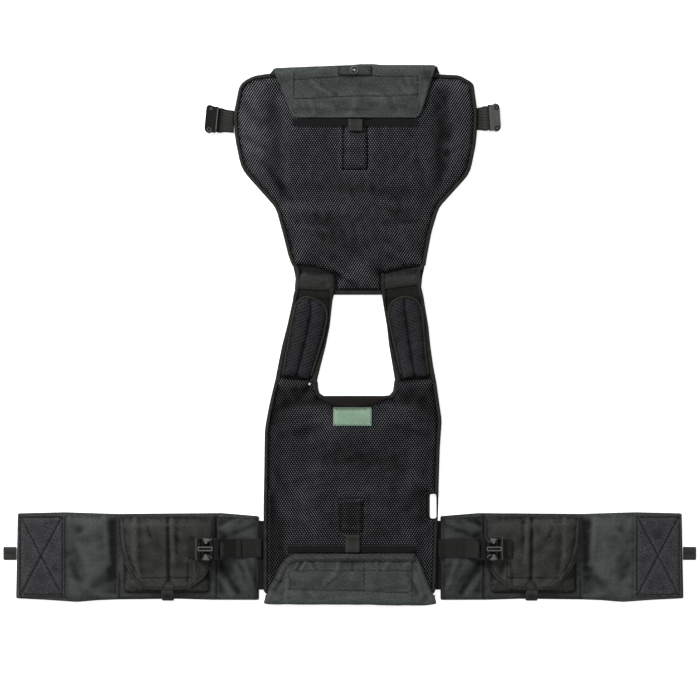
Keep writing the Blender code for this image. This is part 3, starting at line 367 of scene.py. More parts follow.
def resampled(line, step, closed=False):
    """The same line with its points evenly spaced, about step apart."""
    line = np.vstack([line, line[:1]]) if closed else np.asarray(line, float)
    run = run_of(line)
    count = max(3, round(run[-1] / step))
    at = np.linspace(0, run[-1], count + 1)
    found = np.stack([np.interp(at, run, line[:, k]) for k in range(line.shape[1])], axis=1)
    return found[:-1] if closed else found


def inward(line, closed=False):
    """The unit vectors to the left of a line at each of its points."""
    if closed:
        along = np.roll(line, -1, axis=0) - np.roll(line, 1, axis=0)
    else:
        along = np.gradient(line, axis=0)
    along /= np.maximum(np.linalg.norm(along, axis=1, keepdims=True), 1e-9)
    return np.stack([-along[:, 1], along[:, 0]], axis=1)


def shifted(line, distance, closed=False):
    """A line moved to its left."""
    return line + inward(line, closed) * distance


def turning(loop):
    """The area inside a loop, negative where the loop runs clockwise."""
    x, y = loop.T
    return float(np.sum(x * np.roll(y, -1) - y * np.roll(x, -1))) / 2


def facing_up(loop):
    """The loop, running anticlockwise."""
    return loop if turning(loop) > 0 else loop[::-1]


def from_line(x, y, line, closed=True):
    """How far each x, y lies from a line."""
    ends = np.roll(line, -1, axis=0) if closed else line[1:]
    best = np.full(np.shape(x), 1e9)
    for (ax, ay), (bx, by) in zip(line, ends):
        dx, dy = bx - ax, by - ay
        t = np.clip(((x - ax) * dx + (y - ay) * dy) / max(dx * dx + dy * dy, 1e-9), 0, 1)
        best = np.minimum(best, (x - ax - t * dx) ** 2 + (y - ay - t * dy) ** 2)
    return np.sqrt(best)


def is_inside(x, y, loop):
    """Whether each x, y lies inside a loop."""
    inside = np.zeros(np.shape(x), bool)
    for (ax, ay), (bx, by) in zip(loop, np.roll(loop, -1, axis=0)):
        if ay != by:
            inside ^= ((ay > y) != (by > y)) & (x < ax + (y - ay) / (by - ay) * (bx - ax))
    return inside


def folds(x, y, rows):
    """The height that soft folds, creases and dents add."""
    total = np.zeros(np.shape(x))
    for x0, y0, x1, y1, width, height in rows:
        dx, dy = x1 - x0, y1 - y0
        t = ((x - x0) * dx + (y - y0) * dy) / (dx * dx + dy * dy)
        t = np.clip(t, 0, 1)
        away = np.hypot(x - x0 - t * dx, y - y0 - t * dy)
        total += height * bump(away, width)
    return total


def wander(seed, size, waves=12):
    """A smooth random field of about -1 to 1 whose bumps are size mm across."""
    rng = np.random.default_rng(seed)
    angle = rng.uniform(0, 2 * math.pi, waves)
    rate = 2 * math.pi / size * rng.uniform(0.6, 1.5, waves)
    phase = rng.uniform(0, 2 * math.pi, waves)

    def field(x, y):
        total = 0.0
        for a, r, p in zip(angle, rate, phase):
            total = total + np.cos(r * (x * math.cos(a) + y * math.sin(a)) + p)
        return total / math.sqrt(waves)

    return field


def groove(x, y, lines, depth=0.7, width=1.5, pucker=0.35):
    """Sewn lines pull the cloth in, and pucker it a little beside them."""
    total = np.zeros(np.shape(x))
    for line in lines:
        away = from_line(x, y, line, closed=False)
        along = x * 0.55 + y * 0.83
        ripple = np.sin(along * 0.95) + 0.6 * np.sin(along * 0.57 + 1.3)
        total -= depth * bump(away, width)
        total += pucker * ripple * bump(away, width * 3.2) * (away / (width * 2.2))
    return total


def level(height):
    """A face of one height, for any x and y."""
    return lambda x, y, away=0: np.full(np.shape(x), float(height))


def surface(top, loop, raised=0.0):
    """The height of a sheet's upper face from x and y alone, where loop is the sheet's edge."""
    return lambda x, y: top(x, y, from_line(x, y, loop)) + raised


# The ground that each new piece is laid on.


class Ground:
    """The top of everything laid so far, over cells of the plan."""

    STEP = 2.5

    def __init__(self, cells=None):
        self.xs = np.arange(-625, 626, self.STEP)
        self.ys = np.arange(-495, 496, self.STEP)
        self.z = np.zeros((len(self.ys), len(self.xs))) if cells is None else cells

    def add(self, loop, top):
        j = (self.xs >= loop[:, 0].min() - 2) & (self.xs <= loop[:, 0].max() + 2)
        i = (self.ys >= loop[:, 1].min() - 2) & (self.ys <= loop[:, 1].max() + 2)
        x, y = np.meshgrid(self.xs[j], self.ys[i])
        inside = is_inside(x, y, loop)
        window = self.z[np.ix_(i, j)]
        window[inside] = np.maximum(window[inside], top(x[inside], y[inside]))
        self.z[np.ix_(i, j)] = window

    def add_points(self, points):
        j = np.rint((points[:, 0] - self.xs[0]) / self.STEP).astype(int)
        i = np.rint((points[:, 1] - self.ys[0]) / self.STEP).astype(int)
        np.maximum.at(self.z, (i, j), points[:, 2])

    def draped(self, reach=2):
        """The height of a cloth laid on the ground: it bridges hollows and clears each step."""
        z = self.z
        for axis in (0, 1):
            z = np.max([np.roll(z, k, axis) for k in range(-reach, reach + 1)], axis=0)
        for axis in (0, 1):
            z = np.mean([np.roll(z, k, axis) for k in range(-reach, reach + 1)], axis=0)
        return Ground(z)

    def at(self, x, y):
        u = np.clip((np.asarray(x, float) - self.xs[0]) / self.STEP, 0, len(self.xs) - 1.001)
        v = np.clip((np.asarray(y, float) - self.ys[0]) / self.STEP, 0, len(self.ys) - 1.001)
        j, i = u.astype(int), v.astype(int)
        u, v = u - j, v - i
        low = self.z[i, j] * (1 - u) + self.z[i, j + 1] * u
        high = self.z[i + 1, j] * (1 - u) + self.z[i + 1, j + 1] * u
        return low * (1 - v) + high * v


ground = Ground()


# Meshes. Each has a UV layer in metres, so that weaves keep their real size.


TONE_RANGE = (-0.8, 1)


def add_mesh(name, points, faces, uvs, finish, sharp=55, tone=None):
    """A mesh in millimetres. Its tone darkens the colour above 0 and makes it paler below 0."""
    mesh = bpy.data.meshes.new(name)
    mesh.from_pydata((np.asarray(points) * MM).tolist(), [], faces)
    layer = mesh.uv_layers.new(name="cloth")
    index = np.empty(len(mesh.loops), np.int32)
    mesh.loops.foreach_get("vertex_index", index)
    layer.data.foreach_set("uv", (np.asarray(uvs, float)[index] * MM).ravel())
    if tone is not None:
        stain = mesh.attributes.new("tone", "FLOAT", "POINT")
        stain.data.foreach_set("value", np.clip(tone, *TONE_RANGE).astype(np.float32))
    made = bpy.data.objects.new(name, mesh)
    bpy.context.scene.collection.objects.link(made)
    mesh.materials.append(finish)
    mesh.shade_smooth()
    mesh.set_sharp_from_angle(angle=math.radians(sharp))
    return made


# Painted shade and light from the relief: rounds of smoothing, and tone for each millimetre of height.
NEAR_STEPS, NEAR_TONE = 4, 1.2
FAR_STEPS, FAR_TONE = 26, 0.5


def hollow_tone(z, sides):
    """Painted shade and light from the relief: dark in seams and creases, pale on the ridges between them."""
    ends = np.concatenate([sides, sides[:, ::-1]])
    share = np.maximum(np.bincount(ends[:, 0], minlength=len(z)), 1)
    soft, tone = z, np.zeros(len(z))
    for step in range(1, FAR_STEPS + 1):
        mean = np.bincount(ends[:, 0], weights=soft[ends[:, 1]], minlength=len(z)) / share
        soft = (soft + mean) / 2
        if step == NEAR_STEPS:
            tone += np.clip((soft - z) * NEAR_TONE, -0.25, 0.6)
        if step == FAR_STEPS:
            tone += np.clip((soft - z) * FAR_TONE, -0.25, 0.35)
    return tone


def dress(piece, nodes):
    """The piece rides on the vest and stands for those CAD nodes."""
    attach(piece, "root")
    if nodes:
        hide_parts(*([nodes] if isinstance(nodes, str) else nodes))
    return piece


RIM_RINGS = (0.8, 2.0, 3.6)  # rows of points inside a sheet's edge
SEAM_ROWS = (-2.6, -1.1, 0, 1.1, 2.6)  # rows of points along a seam


def sheet(
    name, loop, cell, top, low, finish, seams=(), rings=RIM_RINGS, holes=(), spin=0.0, shade=None,
):
    """A closed sheet inside a loop: top and low give its faces from x, y and the edge's distance."""
    loop = facing_up(resampled(loop, cell * 0.8, closed=True))
    holes = [resampled(hole, 1.6, closed=True) for hole in holes]
    groups = [loop] + holes
    for ring in rings:
        line = shifted(loop, ring, closed=True)
        groups.append(line[from_line(line[:, 0], line[:, 1], loop) > ring * 0.85])
    for seam in seams:
        line = resampled(seam, cell * 0.75)
        for side in SEAM_ROWS:
            points = shifted(line, side)
            keep = is_inside(points[:, 0], points[:, 1], loop)
            keep &= from_line(points[:, 0], points[:, 1], loop) > rings[-1] + 0.8
            groups.append(points[keep])
    xs = np.arange(loop[:, 0].min(), loop[:, 0].max() + cell, cell)
    ys = np.arange(loop[:, 1].min(), loop[:, 1].max() + cell, cell * 0.866)
    x, y = np.meshgrid(xs, ys)
    x[1::2] += cell / 2
    x, y = x.ravel(), y.ravel()
    keep = is_inside(x, y, loop)
    x, y = x[keep], y[keep]
    keep = from_line(x, y, loop) > rings[-1] + cell * 0.55
    for seam in seams:
        keep &= from_line(x, y, np.asarray(seam, float), closed=False) > SEAM_ROWS[-1] + cell * 0.45
    groups.append(np.stack([x[keep], y[keep]], axis=1))
    for hole in holes:
        for k in range(1 + len(holes), len(groups)):
            x, y = groups[k].T
            groups[k] = groups[k][~is_inside(x, y, hole) & (from_line(x, y, hole) > 1.0)]
    flat = np.vstack([g for g in groups if len(g)])
    rims, first = [], 0
    for rim in [loop] + holes:
        rims.append(list(range(first, first + len(rim))))
        first += len(rim)
    found = triangles(flat, rims)
    flat = np.array([tuple(p) for p in found[0]])
    tris = np.array([f for f in found[2] if len(f) == 3])
    middle = flat[tris].mean(axis=1)
    for hole in holes:
        inside = is_inside(middle[:, 0], middle[:, 1], hole)
        tris, middle = tris[~inside], middle[~inside]
    used, tris = np.unique(tris, return_inverse=True)
    flat, tris = flat[used], tris.reshape(-1, 3)
    x, y = flat[:, 0], flat[:, 1]
    away = np.min([from_line(x, y, rim) for rim in [loop] + holes], axis=0)
    upper = np.column_stack([flat, top(x, y, away)])
    lower = np.column_stack([flat, low(x, y, away)])
    count = len(flat)
    sides = np.concatenate([tris[:, [0, 1]], tris[:, [1, 2]], tris[:, [2, 0]]])
    pairs = {(a, b) for a, b in sides.tolist()}
    walls = [(a, count + a, count + b, b) for a, b in pairs if (b, a) not in pairs]
    faces = tris.tolist() + (tris[:, ::-1] + count).tolist() + walls
    sides = np.array([(a, b) for a, b in pairs if a < b or (b, a) not in pairs])
    # Painted shade and light: from the relief, and from shade where it is given.
    tone = hollow_tone(upper[:, 2], sides)
    if shade is not None:
        tone = tone + shade(x, y)
    c, s = math.cos(spin), math.sin(spin)
    uv = flat @ np.array([(c, s), (-s, c)])
    points = np.vstack([upper, lower])
    made = add_mesh(name, points, faces, np.vstack([uv, uv]), finish, tone=np.tile(tone, 2))
    made["cut"] = float(abs(turning(loop)) - sum(abs(turning(hole)) for hole in holes))
    made["size"] = [float(v) for v in np.ptp(loop, axis=0)]
    return made


def triangles(flat, rims):
    """The triangles inside the first rim, with the other rims kept as edges."""
    edges = [pair for rim in rims[1:] for pair in zip(rim, rim[1:] + rim[:1])]
    return delaunay_2d_cdt(flat.tolist(), edges, rims[:1], 1, 1e-4)


def plate(name, grid, thickness, finish, relief=0.0, edge=0.45, shade=0.0):
    """A closed sheet round a grid of points, its edges thinned; relief lifts its upper face."""
    across = np.gradient(grid, axis=1)
    along = np.gradient(grid, axis=0)
    square = np.cross(across, along)
    square /= np.maximum(np.linalg.norm(square, axis=2, keepdims=True), 1e-9)
    rows, cols = grid.shape[:2]
    half = np.full((rows, cols), thickness / 2)
    for k, share in ((0, edge), (1, 0.5 + edge / 2)):
        for line in (half[k], half[-1 - k], half[:, k], half[:, -1 - k]):
            np.minimum(line, thickness / 2 * share, out=line)
    upper = grid + square * (half + relief)[:, :, None]
    lower = grid - square * half[:, :, None]
    n = rows * cols
    index = np.arange(n).reshape(rows, cols)
    a, b, c, d = index[:-1, :-1], index[:-1, 1:], index[1:, 1:], index[1:, :-1]
    quads = np.stack([a, b, c, d], axis=-1).reshape(-1, 4)
    rim = np.concatenate([index[0, :-1], index[:-1, -1], index[-1, :0:-1], index[:0:-1, 0]])
    after = np.roll(rim, -1)
    walls = np.stack([rim, n + rim, n + after, after], axis=1)
    faces = quads.tolist() + (quads[:, ::-1] + n).tolist() + walls.tolist()
    u = np.cumsum(np.linalg.norm(np.diff(grid, axis=1, prepend=grid[:, :1]), axis=2), axis=1)
    v = np.cumsum(np.linalg.norm(np.diff(grid, axis=0, prepend=grid[:1]), axis=2), axis=0)
    uvs = np.stack([u, v], axis=-1).reshape(-1, 2)
    points = np.vstack([upper.reshape(-1, 3), lower.reshape(-1, 3)])
    sides = np.vstack([quads[:, :2], quads[:, 1:3], quads[:, 2:], quads[:, [3, 0]]])
    # Painted shade and light from the relief on faces that look up, and the shade given.
    level = np.clip(square[:, :, 2], 0, 1).ravel() ** 4
    tone = hollow_tone(upper[:, :, 2].ravel(), sides) * level + (np.zeros((rows, cols)) + shade).ravel()
    made = add_mesh(name, points, faces, np.vstack([uvs, uvs]), finish, 70, np.tile(tone, 2))
    made["cut"] = float(u[:, -1].mean() * v[-1].mean())
    made["size"] = [float(u[:, -1].max()), float(v[-1].max())]
    return made


def sweep(name, line, profile, finish, closed=False, tone=None, height=0.0):
    """A profile carried along a line of the plan: amounts to the line's left, and up."""
    profile = np.asarray(profile, float)
    if profile.ndim == 2:
        profile = np.repeat(profile[None], len(line), axis=0)
    places = np.column_stack([line, np.full(len(line), float(height))])
    across = np.column_stack([inward(line, closed), np.zeros(len(line))])
    points = places[:, None] + across[:, None] * profile[:, :, :1]
    points[:, :, 2] += profile[:, :, 1]
    n, m = points.shape[:2]
    index = np.arange(n * m).reshape(n, m)
    after = np.roll(index, -1, axis=0) if closed else index[1:]
    first = index if closed else index[:-1]
    quads = np.stack([first, after, np.roll(after, -1, axis=1), np.roll(first, -1, axis=1)], axis=-1)
    faces = quads.reshape(-1, 4).tolist()
    if not closed:
        faces += [index[0].tolist(), index[-1][::-1].tolist()]
    run, width = run_of(places), run_of(profile[0])
    uvs = np.stack(np.broadcast_arrays(width[None, :], run[:, None]), axis=-1).reshape(-1, 2)
    tone = None if tone is None else tone.ravel()
    made = add_mesh(name, points.reshape(-1, 3), faces, uvs, finish, 70, tone)
    shape = bmesh.new()
    shape.from_mesh(made.data)
    bmesh.ops.recalc_face_normals(shape, faces=shape.faces)
    shape.to_mesh(made.data)
    shape.free()
    return made


# A stitch: its corners along, across and up, and its faces.
STITCH = [(-1, 0, -0.1), (0, -1, 0.12), (0, 0, 0.42), (0, 1, 0.12), (0, 0, -0.2), (1, 0, -0.1)]
STITCH_FACES = [
    (0, 1, 2), (0, 2, 3), (0, 3, 4), (0, 4, 1), (5, 2, 1), (5, 3, 2), (5, 4, 3), (5, 1, 4),
]
threads = {"points": [], "faces": []}


def sew(lines, height, pitch=3.6, size=2.5, width=0.42):
    """Thread along lines on a surface: one small spindle for each stitch."""
    for line in lines:
        places = resampled(line, pitch / 2)
        middle, ahead, back = places[1:-1:2], places[2::2], places[:-2:2]
        ahead, back = ahead[: len(middle)], back[: len(middle)]
        run = ahead - back
        run /= np.maximum(np.linalg.norm(run, axis=1, keepdims=True), 1e-9)
        side = np.stack([-run[:, 1], run[:, 0]], axis=1)
        z = height(middle[:, 0], middle[:, 1])
        for p, t, s, h in zip(middle, run, side, z):
            first = len(threads["points"])
            for along, over, up in STITCH:
                q = p + t * along * size / 2 + s * over * width
                threads["points"].append((q[0], q[1], h + up))
            threads["faces"] += [(first + a, first + b, first + c) for a, b, c in STITCH_FACES]


def cloth(name, node, loop, cell, top, low, finish, seams, shade=None, raised=0.0, strip=None):
    """A soft sheet that what follows lies on, sewn along its seams.

    raised lifts the thread off it. strip is the length and width of a piece not cut as it lies.
    """
    made = sheet(name, loop, cell, top, low, finish, seams=seams, shade=shade)
    if strip:
        made["size"], made["cut"] = list(strip), strip[0] * strip[1]
    dress(made, node)
    ground.add(loop, surface(top, loop))
    sew(seams, surface(top, loop, raised))


# Materials.


def scaled(colour, share, plus=0.0):
    """A share of a colour, with a little grey added."""
    return [c * share + plus for c in colour]


class Nodes:
    """Short calls for building one material's nodes."""

    def __init__(self, name):
        self.material = bpy.data.materials.new(name)
        self.material.use_nodes = True
        self.tree = self.material.node_tree
        self.shader = self.tree.nodes["Principled BSDF"]
        self.uv = self.add("ShaderNodeUVMap", uv_map="cloth").outputs["UV"]
        parts = self.add("ShaderNodeSeparateXYZ", {"Vector": self.uv})
        self.x, self.y = parts.outputs["X"], parts.outputs["Y"]
        self.place = self.add("ShaderNodeTexCoord").outputs["Object"]

    def put(self, node, key, value):
        """Link an input to another node's output, or set it to a constant."""
        if hasattr(value, "is_output"):
            self.tree.links.new(value, node.inputs[key])
        else:
            node.inputs[key].default_value = value

    def add(self, kind, inputs=None, **settings):
        """A node with its settings and its inputs."""
        node = self.tree.nodes.new(kind)
        for key, value in settings.items():
            setattr(node, key, value)
        for key, value in (inputs or {}).items():
            self.put(node, key, value)
        return node

    def math(self, operation, a, b=0.0, clamp=False):
        return self.add("ShaderNodeMath", {0: a, 1: b}, operation=operation, use_clamp=clamp).outputs[0]

    def plus(self, a, b, share=1.0):
        """a with a share of b added."""
        return self.math("ADD", a, self.math("MULTIPLY", b, share))

    def wave(self, coordinate, period):
        """A cosine of the coordinate, from -1 to 1, with that period in metres."""
        return self.math("COSINE", self.math("MULTIPLY", coordinate, 2 * math.pi / period))

    def noise(self, scale, detail=3.0, rough=0.6):
        inputs = {"Vector": self.place, "Scale": scale, "Detail": detail, "Roughness": rough}
        return self.add("ShaderNodeTexNoise", inputs).outputs["Fac"]

    def ramp(self, value, stops):
        """A colour for the value, from stops of place and colour."""
        node = self.add("ShaderNodeValToRGB", {"Fac": value})
        for k, (at, colour) in enumerate(stops):
            stop = node.color_ramp.elements[k] if k < 2 else node.color_ramp.elements.new(at)
            stop.position = at
            stop.color = (*colour, 1)
        return node.outputs["Color"]

    def between(self, value, low, high, to_low=0.0, to_high=1.0):
        """The value carried over from one range to another, and held inside it."""
        inputs = {"Value": value, "From Min": low, "From Max": high, "To Min": to_low, "To Max": to_high}
        return self.add("ShaderNodeMapRange", inputs).outputs["Result"]

    def mixed(self, amount, a, b, blend="MIX"):
        """Colour a, and colour b by the amount."""
        node = self.add("ShaderNodeMix", data_type="RGBA", blend_type=blend)
        self.put(node, 0, amount)
        for key, colour in ((6, a), (7, b)):
            self.put(node, key, colour if hasattr(colour, "is_output") else (*colour, 1))
        return node.outputs[2]

    def finish(self, colour, rough, bump=None, depth=0.3, shade_factor=0.16, light_factor=1.9, **constants):
        """Colour, roughness and bump; the tone attribute paints shade and light by these factors."""
        tone = self.add("ShaderNodeAttribute", attribute_name="tone").outputs["Fac"]
        # Painted shade where the tone is above 0, and painted light where it is below 0.
        dark = self.mixed(1.0, colour, (shade_factor,) * 3, "MULTIPLY")
        pale = self.mixed(1.0, colour, (light_factor,) * 3, "MULTIPLY")
        colour = self.mixed(self.math("MULTIPLY", tone, 1.0, True), colour, dark)
        colour = self.mixed(self.math("MULTIPLY", tone, -1.0, True), colour, pale)
        self.put(self.shader, "Base Color", colour)
        self.put(self.shader, "Roughness", rough)
        if bump is not None:
            node = self.add("ShaderNodeBump", {"Height": bump, "Distance": depth * MM, "Strength": 1.0})
            self.put(self.shader, "Normal", node.outputs["Normal"])
        for key, value in constants.items():
            self.put(self.shader, key.replace("_", " "), value)
        return self.material


def mesh_material(name, lean=0.5, tint=1.0, scale=1.0):
    """Knitted spacer mesh: dark eyelets, yarns slanting both ways, painted highlights; lean favours "/"."""
    n = Nodes(name)
    x = n.plus(n.x, n.noise(55, 2.0, 0.5), 0.0011)
    y = n.plus(n.y, n.noise(47, 2.0, 0.5), 0.0014)
    u, v = n.math("DIVIDE", x, 0.0044 * scale), n.math("DIVIDE", y, 0.0070 * scale)
    back, forth = n.wave(n.math("ADD", u, v), 1.0), n.wave(n.math("SUBTRACT", u, v), 1.0)
    side = n.between(n.noise(7.0, 2.0, 0.5), 0.3, 0.7, lean - 0.3, lean + 0.3)
    rest = n.math("SUBTRACT", 1.0, side)
    lattice = n.math("ADD", n.math("MULTIPLY", forth, side), n.math("MULTIPLY", back, rest))
    height = n.plus(n.between(lattice, -1.0, 1.0), n.noise(900, 2.0, 0.6), 0.5)
    marked = n.noise(9, 4.0, 0.65)
    # The yarns' crests are painted pale, as highlights; the eyelets are near black.
    yarn = n.ramp(n.between(height, 0.35, 1.25), [
        (0.34, (0.0005, 0.0005, 0.0006)),
        (0.63, scaled((0.96, 0.98, 1.08), 0.0075 * tint)),
        (0.88, scaled((0.150, 0.153, 0.166), tint)),
    ])
    colour = n.mixed(n.between(marked, 0.3, 0.75, 0.0, 0.35), yarn, (0.0035, 0.0036, 0.0042))
    rough = n.between(marked, 0.2, 0.8, 0.72, 0.9)
    return n.finish(colour, rough, height, 0.6, Specular_IOR_Level=0.05)


def woven_material(
    name, colour, thread=0.0011, contrast=0.5, sheen=0.04, dust=0.25, lint=True, mottle=1.0,
):
    """A coarse plain weave: crossing threads, uneven dye, rubbed places and some pale lint."""
    n = Nodes(name)
    x = n.plus(n.x, n.noise(90, 2.0), 0.0004)
    y = n.plus(n.y, n.noise(83, 2.0), 0.0004)
    warp = n.between(n.wave(x, thread * 2), -1, 1)
    weft = n.between(n.wave(y, thread * 2), -1, 1)
    crossing = n.math("MULTIPLY", n.wave(x, thread * 4), n.wave(y, thread * 4))
    over = n.between(crossing, -0.4, 0.4)
    under = n.math("SUBTRACT", 1.0, over)
    height = n.math("ADD", n.math("MULTIPLY", warp, over), n.math("MULTIPLY", weft, under))
    cloudy = n.noise(22, 5.0, 0.62)
    stops = [(0.1, scaled(colour, 1 - contrast)), (0.85, scaled(colour, 1 + contrast * 0.7))]
    base = n.ramp(height, stops)
    base = n.mixed(n.between(cloudy, 0.32, 0.72, 0.0, 0.5 * mottle), base, scaled(colour, 0.6))
    slubs = n.noise(330, 4.0, 0.75)
    base = n.mixed(n.between(slubs, 0.38, 0.62, 0.42 * mottle, 0.0), base, scaled(colour, 0.45))
    base = n.mixed(n.between(slubs, 0.5, 0.72, 0.0, 0.5 * mottle), base, scaled(colour, 1.9, 0.004))
    rubbed = n.between(n.noise(7, 6.0, 0.7), 0.56, 0.78, 0.0, dust)
    base = n.mixed(rubbed, base, scaled(colour, 1.9, 0.006))
    if lint:
        specks = n.between(n.noise(1300, 1.0, 0.4), 0.73, 0.80, 0.0, 0.35)
        base = n.mixed(specks, base, (0.12, 0.125, 0.12))
    rough = n.between(cloudy, 0.2, 0.8, 0.74, 0.92)
    return n.finish(
        base, rough, n.plus(height, slubs, 2.5), 0.3,
        Specular_IOR_Level=0.12, Sheen_Weight=sheen, Sheen_Roughness=0.45,
    )


def webbing_material(name, colour, rib=0.0016, contrast=0.5):
    """Ribbed webbing: cords along its length, crossed by fine, slanting picks."""
    n = Nodes(name)
    cords = n.between(n.wave(n.x, rib), -0.9, 1)
    slant = n.plus(n.y, n.wave(n.x, rib * 2), 0.00035)
    picks = n.between(n.wave(slant, 0.0009), -1, 1)
    height = n.plus(n.math("MULTIPLY", cords, 0.7), picks, 0.3)
    cloudy = n.noise(30, 5.0, 0.6)
    base = n.ramp(height, [(0.1, scaled(colour, 1 - contrast)), (0.9, scaled(colour, 1 + contrast))])
    base = n.mixed(n.between(cloudy, 0.35, 0.7, 0.0, 0.4), base, scaled(colour, 0.75))
    rubbed = n.between(n.noise(15, 5.0, 0.7), 0.55, 0.75, 0.0, 0.3)
    base = n.mixed(rubbed, base, scaled(colour, 1.8, 0.004))
    rough = n.between(cloudy, 0.2, 0.8, 0.62, 0.82)
    return n.finish(base, rough, height, 0.4, Specular_IOR_Level=0.2)


def pile_material(name, colour, sparkle=0.05):
    """Hook and loop: a dense, tangled nap."""
    n = Nodes(name)
    nap, tufts = n.noise(1500, 3.0, 0.7), n.noise(420, 4.0, 0.7)
    height = n.plus(n.math("MULTIPLY", nap, 0.5), tufts, 0.6)
    # The tufts' tips are painted pale as highlights, and sparkle adds a painted glint to them.
    tips = scaled(colour, 4.4, sparkle * 0.3)
    base = n.ramp(n.between(height, 0.32, 0.78), [(0.0, scaled(colour, 0.12)), (0.56, colour), (1.0, tips)])
    base = n.mixed(n.between(n.noise(14, 5.0), 0.4, 0.7, 0.0, 0.4), base, scaled(colour, 0.6))
    return n.finish(
        base, 0.94, height, 0.9, Specular_IOR_Level=0.1, Sheen_Weight=0.08, Sheen_Roughness=0.6,
    )


def plastic_material(name, tint=1.0, gloss=0.28):
    """Moulded acetal: fine spark-eroded grain, scuffed a little paler where it rubs."""
    n = Nodes(name)
    warm = (1.0, 0.97, 0.93)
    scuff = n.noise(55, 8.0, 0.75)
    scuffed = n.between(scuff, 0.55, 0.75, 0.0, 0.5)
    base = n.mixed(scuffed, scaled(warm, 0.011 * tint), scaled(warm, 0.034 * tint))
    rough = n.between(scuff, 0.3, 0.75, 0.30, 0.52)
    return n.finish(base, rough, n.noise(2600, 2.0, 0.6), 0.05, Specular_IOR_Level=gloss)


def metal_material(name):
    """A plated snap with dull spots."""
    n = Nodes(name)
    spots = n.noise(500, 4.0, 0.7)
    base = n.mixed(n.between(spots, 0.45, 0.7), (0.20, 0.20, 0.195), (0.07, 0.07, 0.068))
    return n.finish(base, n.between(spots, 0.3, 0.7, 0.4, 0.6), spots, 0.04, Metallic=1.0)


FLOOR_GLOW = 0.62
FLOOR_REACH = 20000


def floor_material():
    """White paper that glows a little, so that no shadow falls grey on it."""
    n = Nodes("floor_paper")
    base = n.mixed(n.between(n.noise(3, 2.0), 0.3, 0.7, 0.0, 0.5), (0.90,) * 3, (0.88,) * 3)
    return n.finish(
        base, 0.9, Specular_IOR_Level=0.0, Emission_Color=(1, 1, 1, 1), Emission_Strength=FLOOR_GLOW,
    )


# Tint sets how bright each mesh's yarns and their painted highlights are.
MESH = mesh_material("spacer_mesh", 0.64, 0.95)
BACK_MESH = mesh_material("spacer_mesh_back", 0.5, 0.8)
PAD_MESH = mesh_material("spacer_mesh_pad", 0.62, 0.55, 0.66)
SHELL = woven_material("charcoal_nylon", (0.046, 0.0525, 0.0505))
WING = woven_material("wing_nylon", (0.0425, 0.0470, 0.0455), dust=0.12, mottle=0.55)
KEEPER_CLOTH = woven_material("keeper_nylon", (0.0215, 0.0228, 0.021), dust=0.1)
POUCH_CLOTH = woven_material("pouch_nylon", (0.0300, 0.0303, 0.0282), thread=0.0009, dust=0.3)
TAPE = webbing_material("binding_tape", (0.0165, 0.0168, 0.0138), rib=0.0012)
BROWN_TAPE = webbing_material("brown_binding", (0.0135, 0.0125, 0.0095), rib=0.0012)
HEM_TAPE = webbing_material("hem_tape", (0.041, 0.0435, 0.040), rib=0.0012)
WEB = webbing_material("nylon_webbing", (0.0240, 0.0240, 0.0215))
CHEST_WEB = webbing_material("chest_webbing", (0.0190, 0.0187, 0.0171), rib=0.0050, contrast=0.5)
SIDE_WEB = webbing_material("side_webbing", (0.0110, 0.0107, 0.0094))
STRAP_CLOTH = woven_material("strap_nylon", (0.0088, 0.0083, 0.0074), thread=0.0009, dust=0.12)
PILE = pile_material("hook_and_loop", (0.0255, 0.026, 0.0283))
DARK_PILE = pile_material("black_loop", (0.0028, 0.003, 0.0036), 0.012)
FACING = woven_material("neck_brown", (0.0095, 0.0072, 0.0056), thread=0.0008, dust=0.1, sheen=0.1)
LABEL_CLOTH = woven_material(
    "label_green", (0.195, 0.29, 0.215), thread=0.0006, contrast=0.12, dust=0.03, lint=False, mottle=0.15,
)
PLASTIC = plastic_material("black_acetal", 0.7, 0.13)
# The grey is the right chest buckle's own colour, and a painted highlight on the black buckles.
GREY_AND_HIGHLIGHT_PLASTIC = plastic_material("grey_and_highlight_acetal", 5.5)
# These two are painted highlights: the side sockets' raised frames and the plug arms' heads.
HIGHLIGHT_PLASTIC = plastic_material("highlight_acetal", 10.0)
ARM_PLASTIC = plastic_material("arm_acetal", 7.5)
METAL = metal_material("snap_metal")
THREAD = webbing_material("sewing_thread", (0.030, 0.031, 0.030), rib=0.0008)


# Camera and light.


LENS, SENSOR = 100.0, 36.0
CAMERA_X, CAMERA_Y, VIEW_WIDTH, VEST_MIDDLE_Z = 0.00044, -0.0267, 1.225, 0.008
SKY = 0.30
FLOOR_Z = -0.6
# Lamps: x, y, z, side in metres, power in watts.
LAMPS = [(-2.2, 2.0, 2.0, 1.0, 165), (2.2, 0.6, 3.4, 2.2, 20), (0.2, -2.4, 2.6, 2.0, 16)]


def placed(name, data, at):
    """A camera or lamp in the scene."""
    made = bpy.data.objects.new(name, data)
    bpy.context.scene.collection.objects.link(made)
    made.location = at
    return made


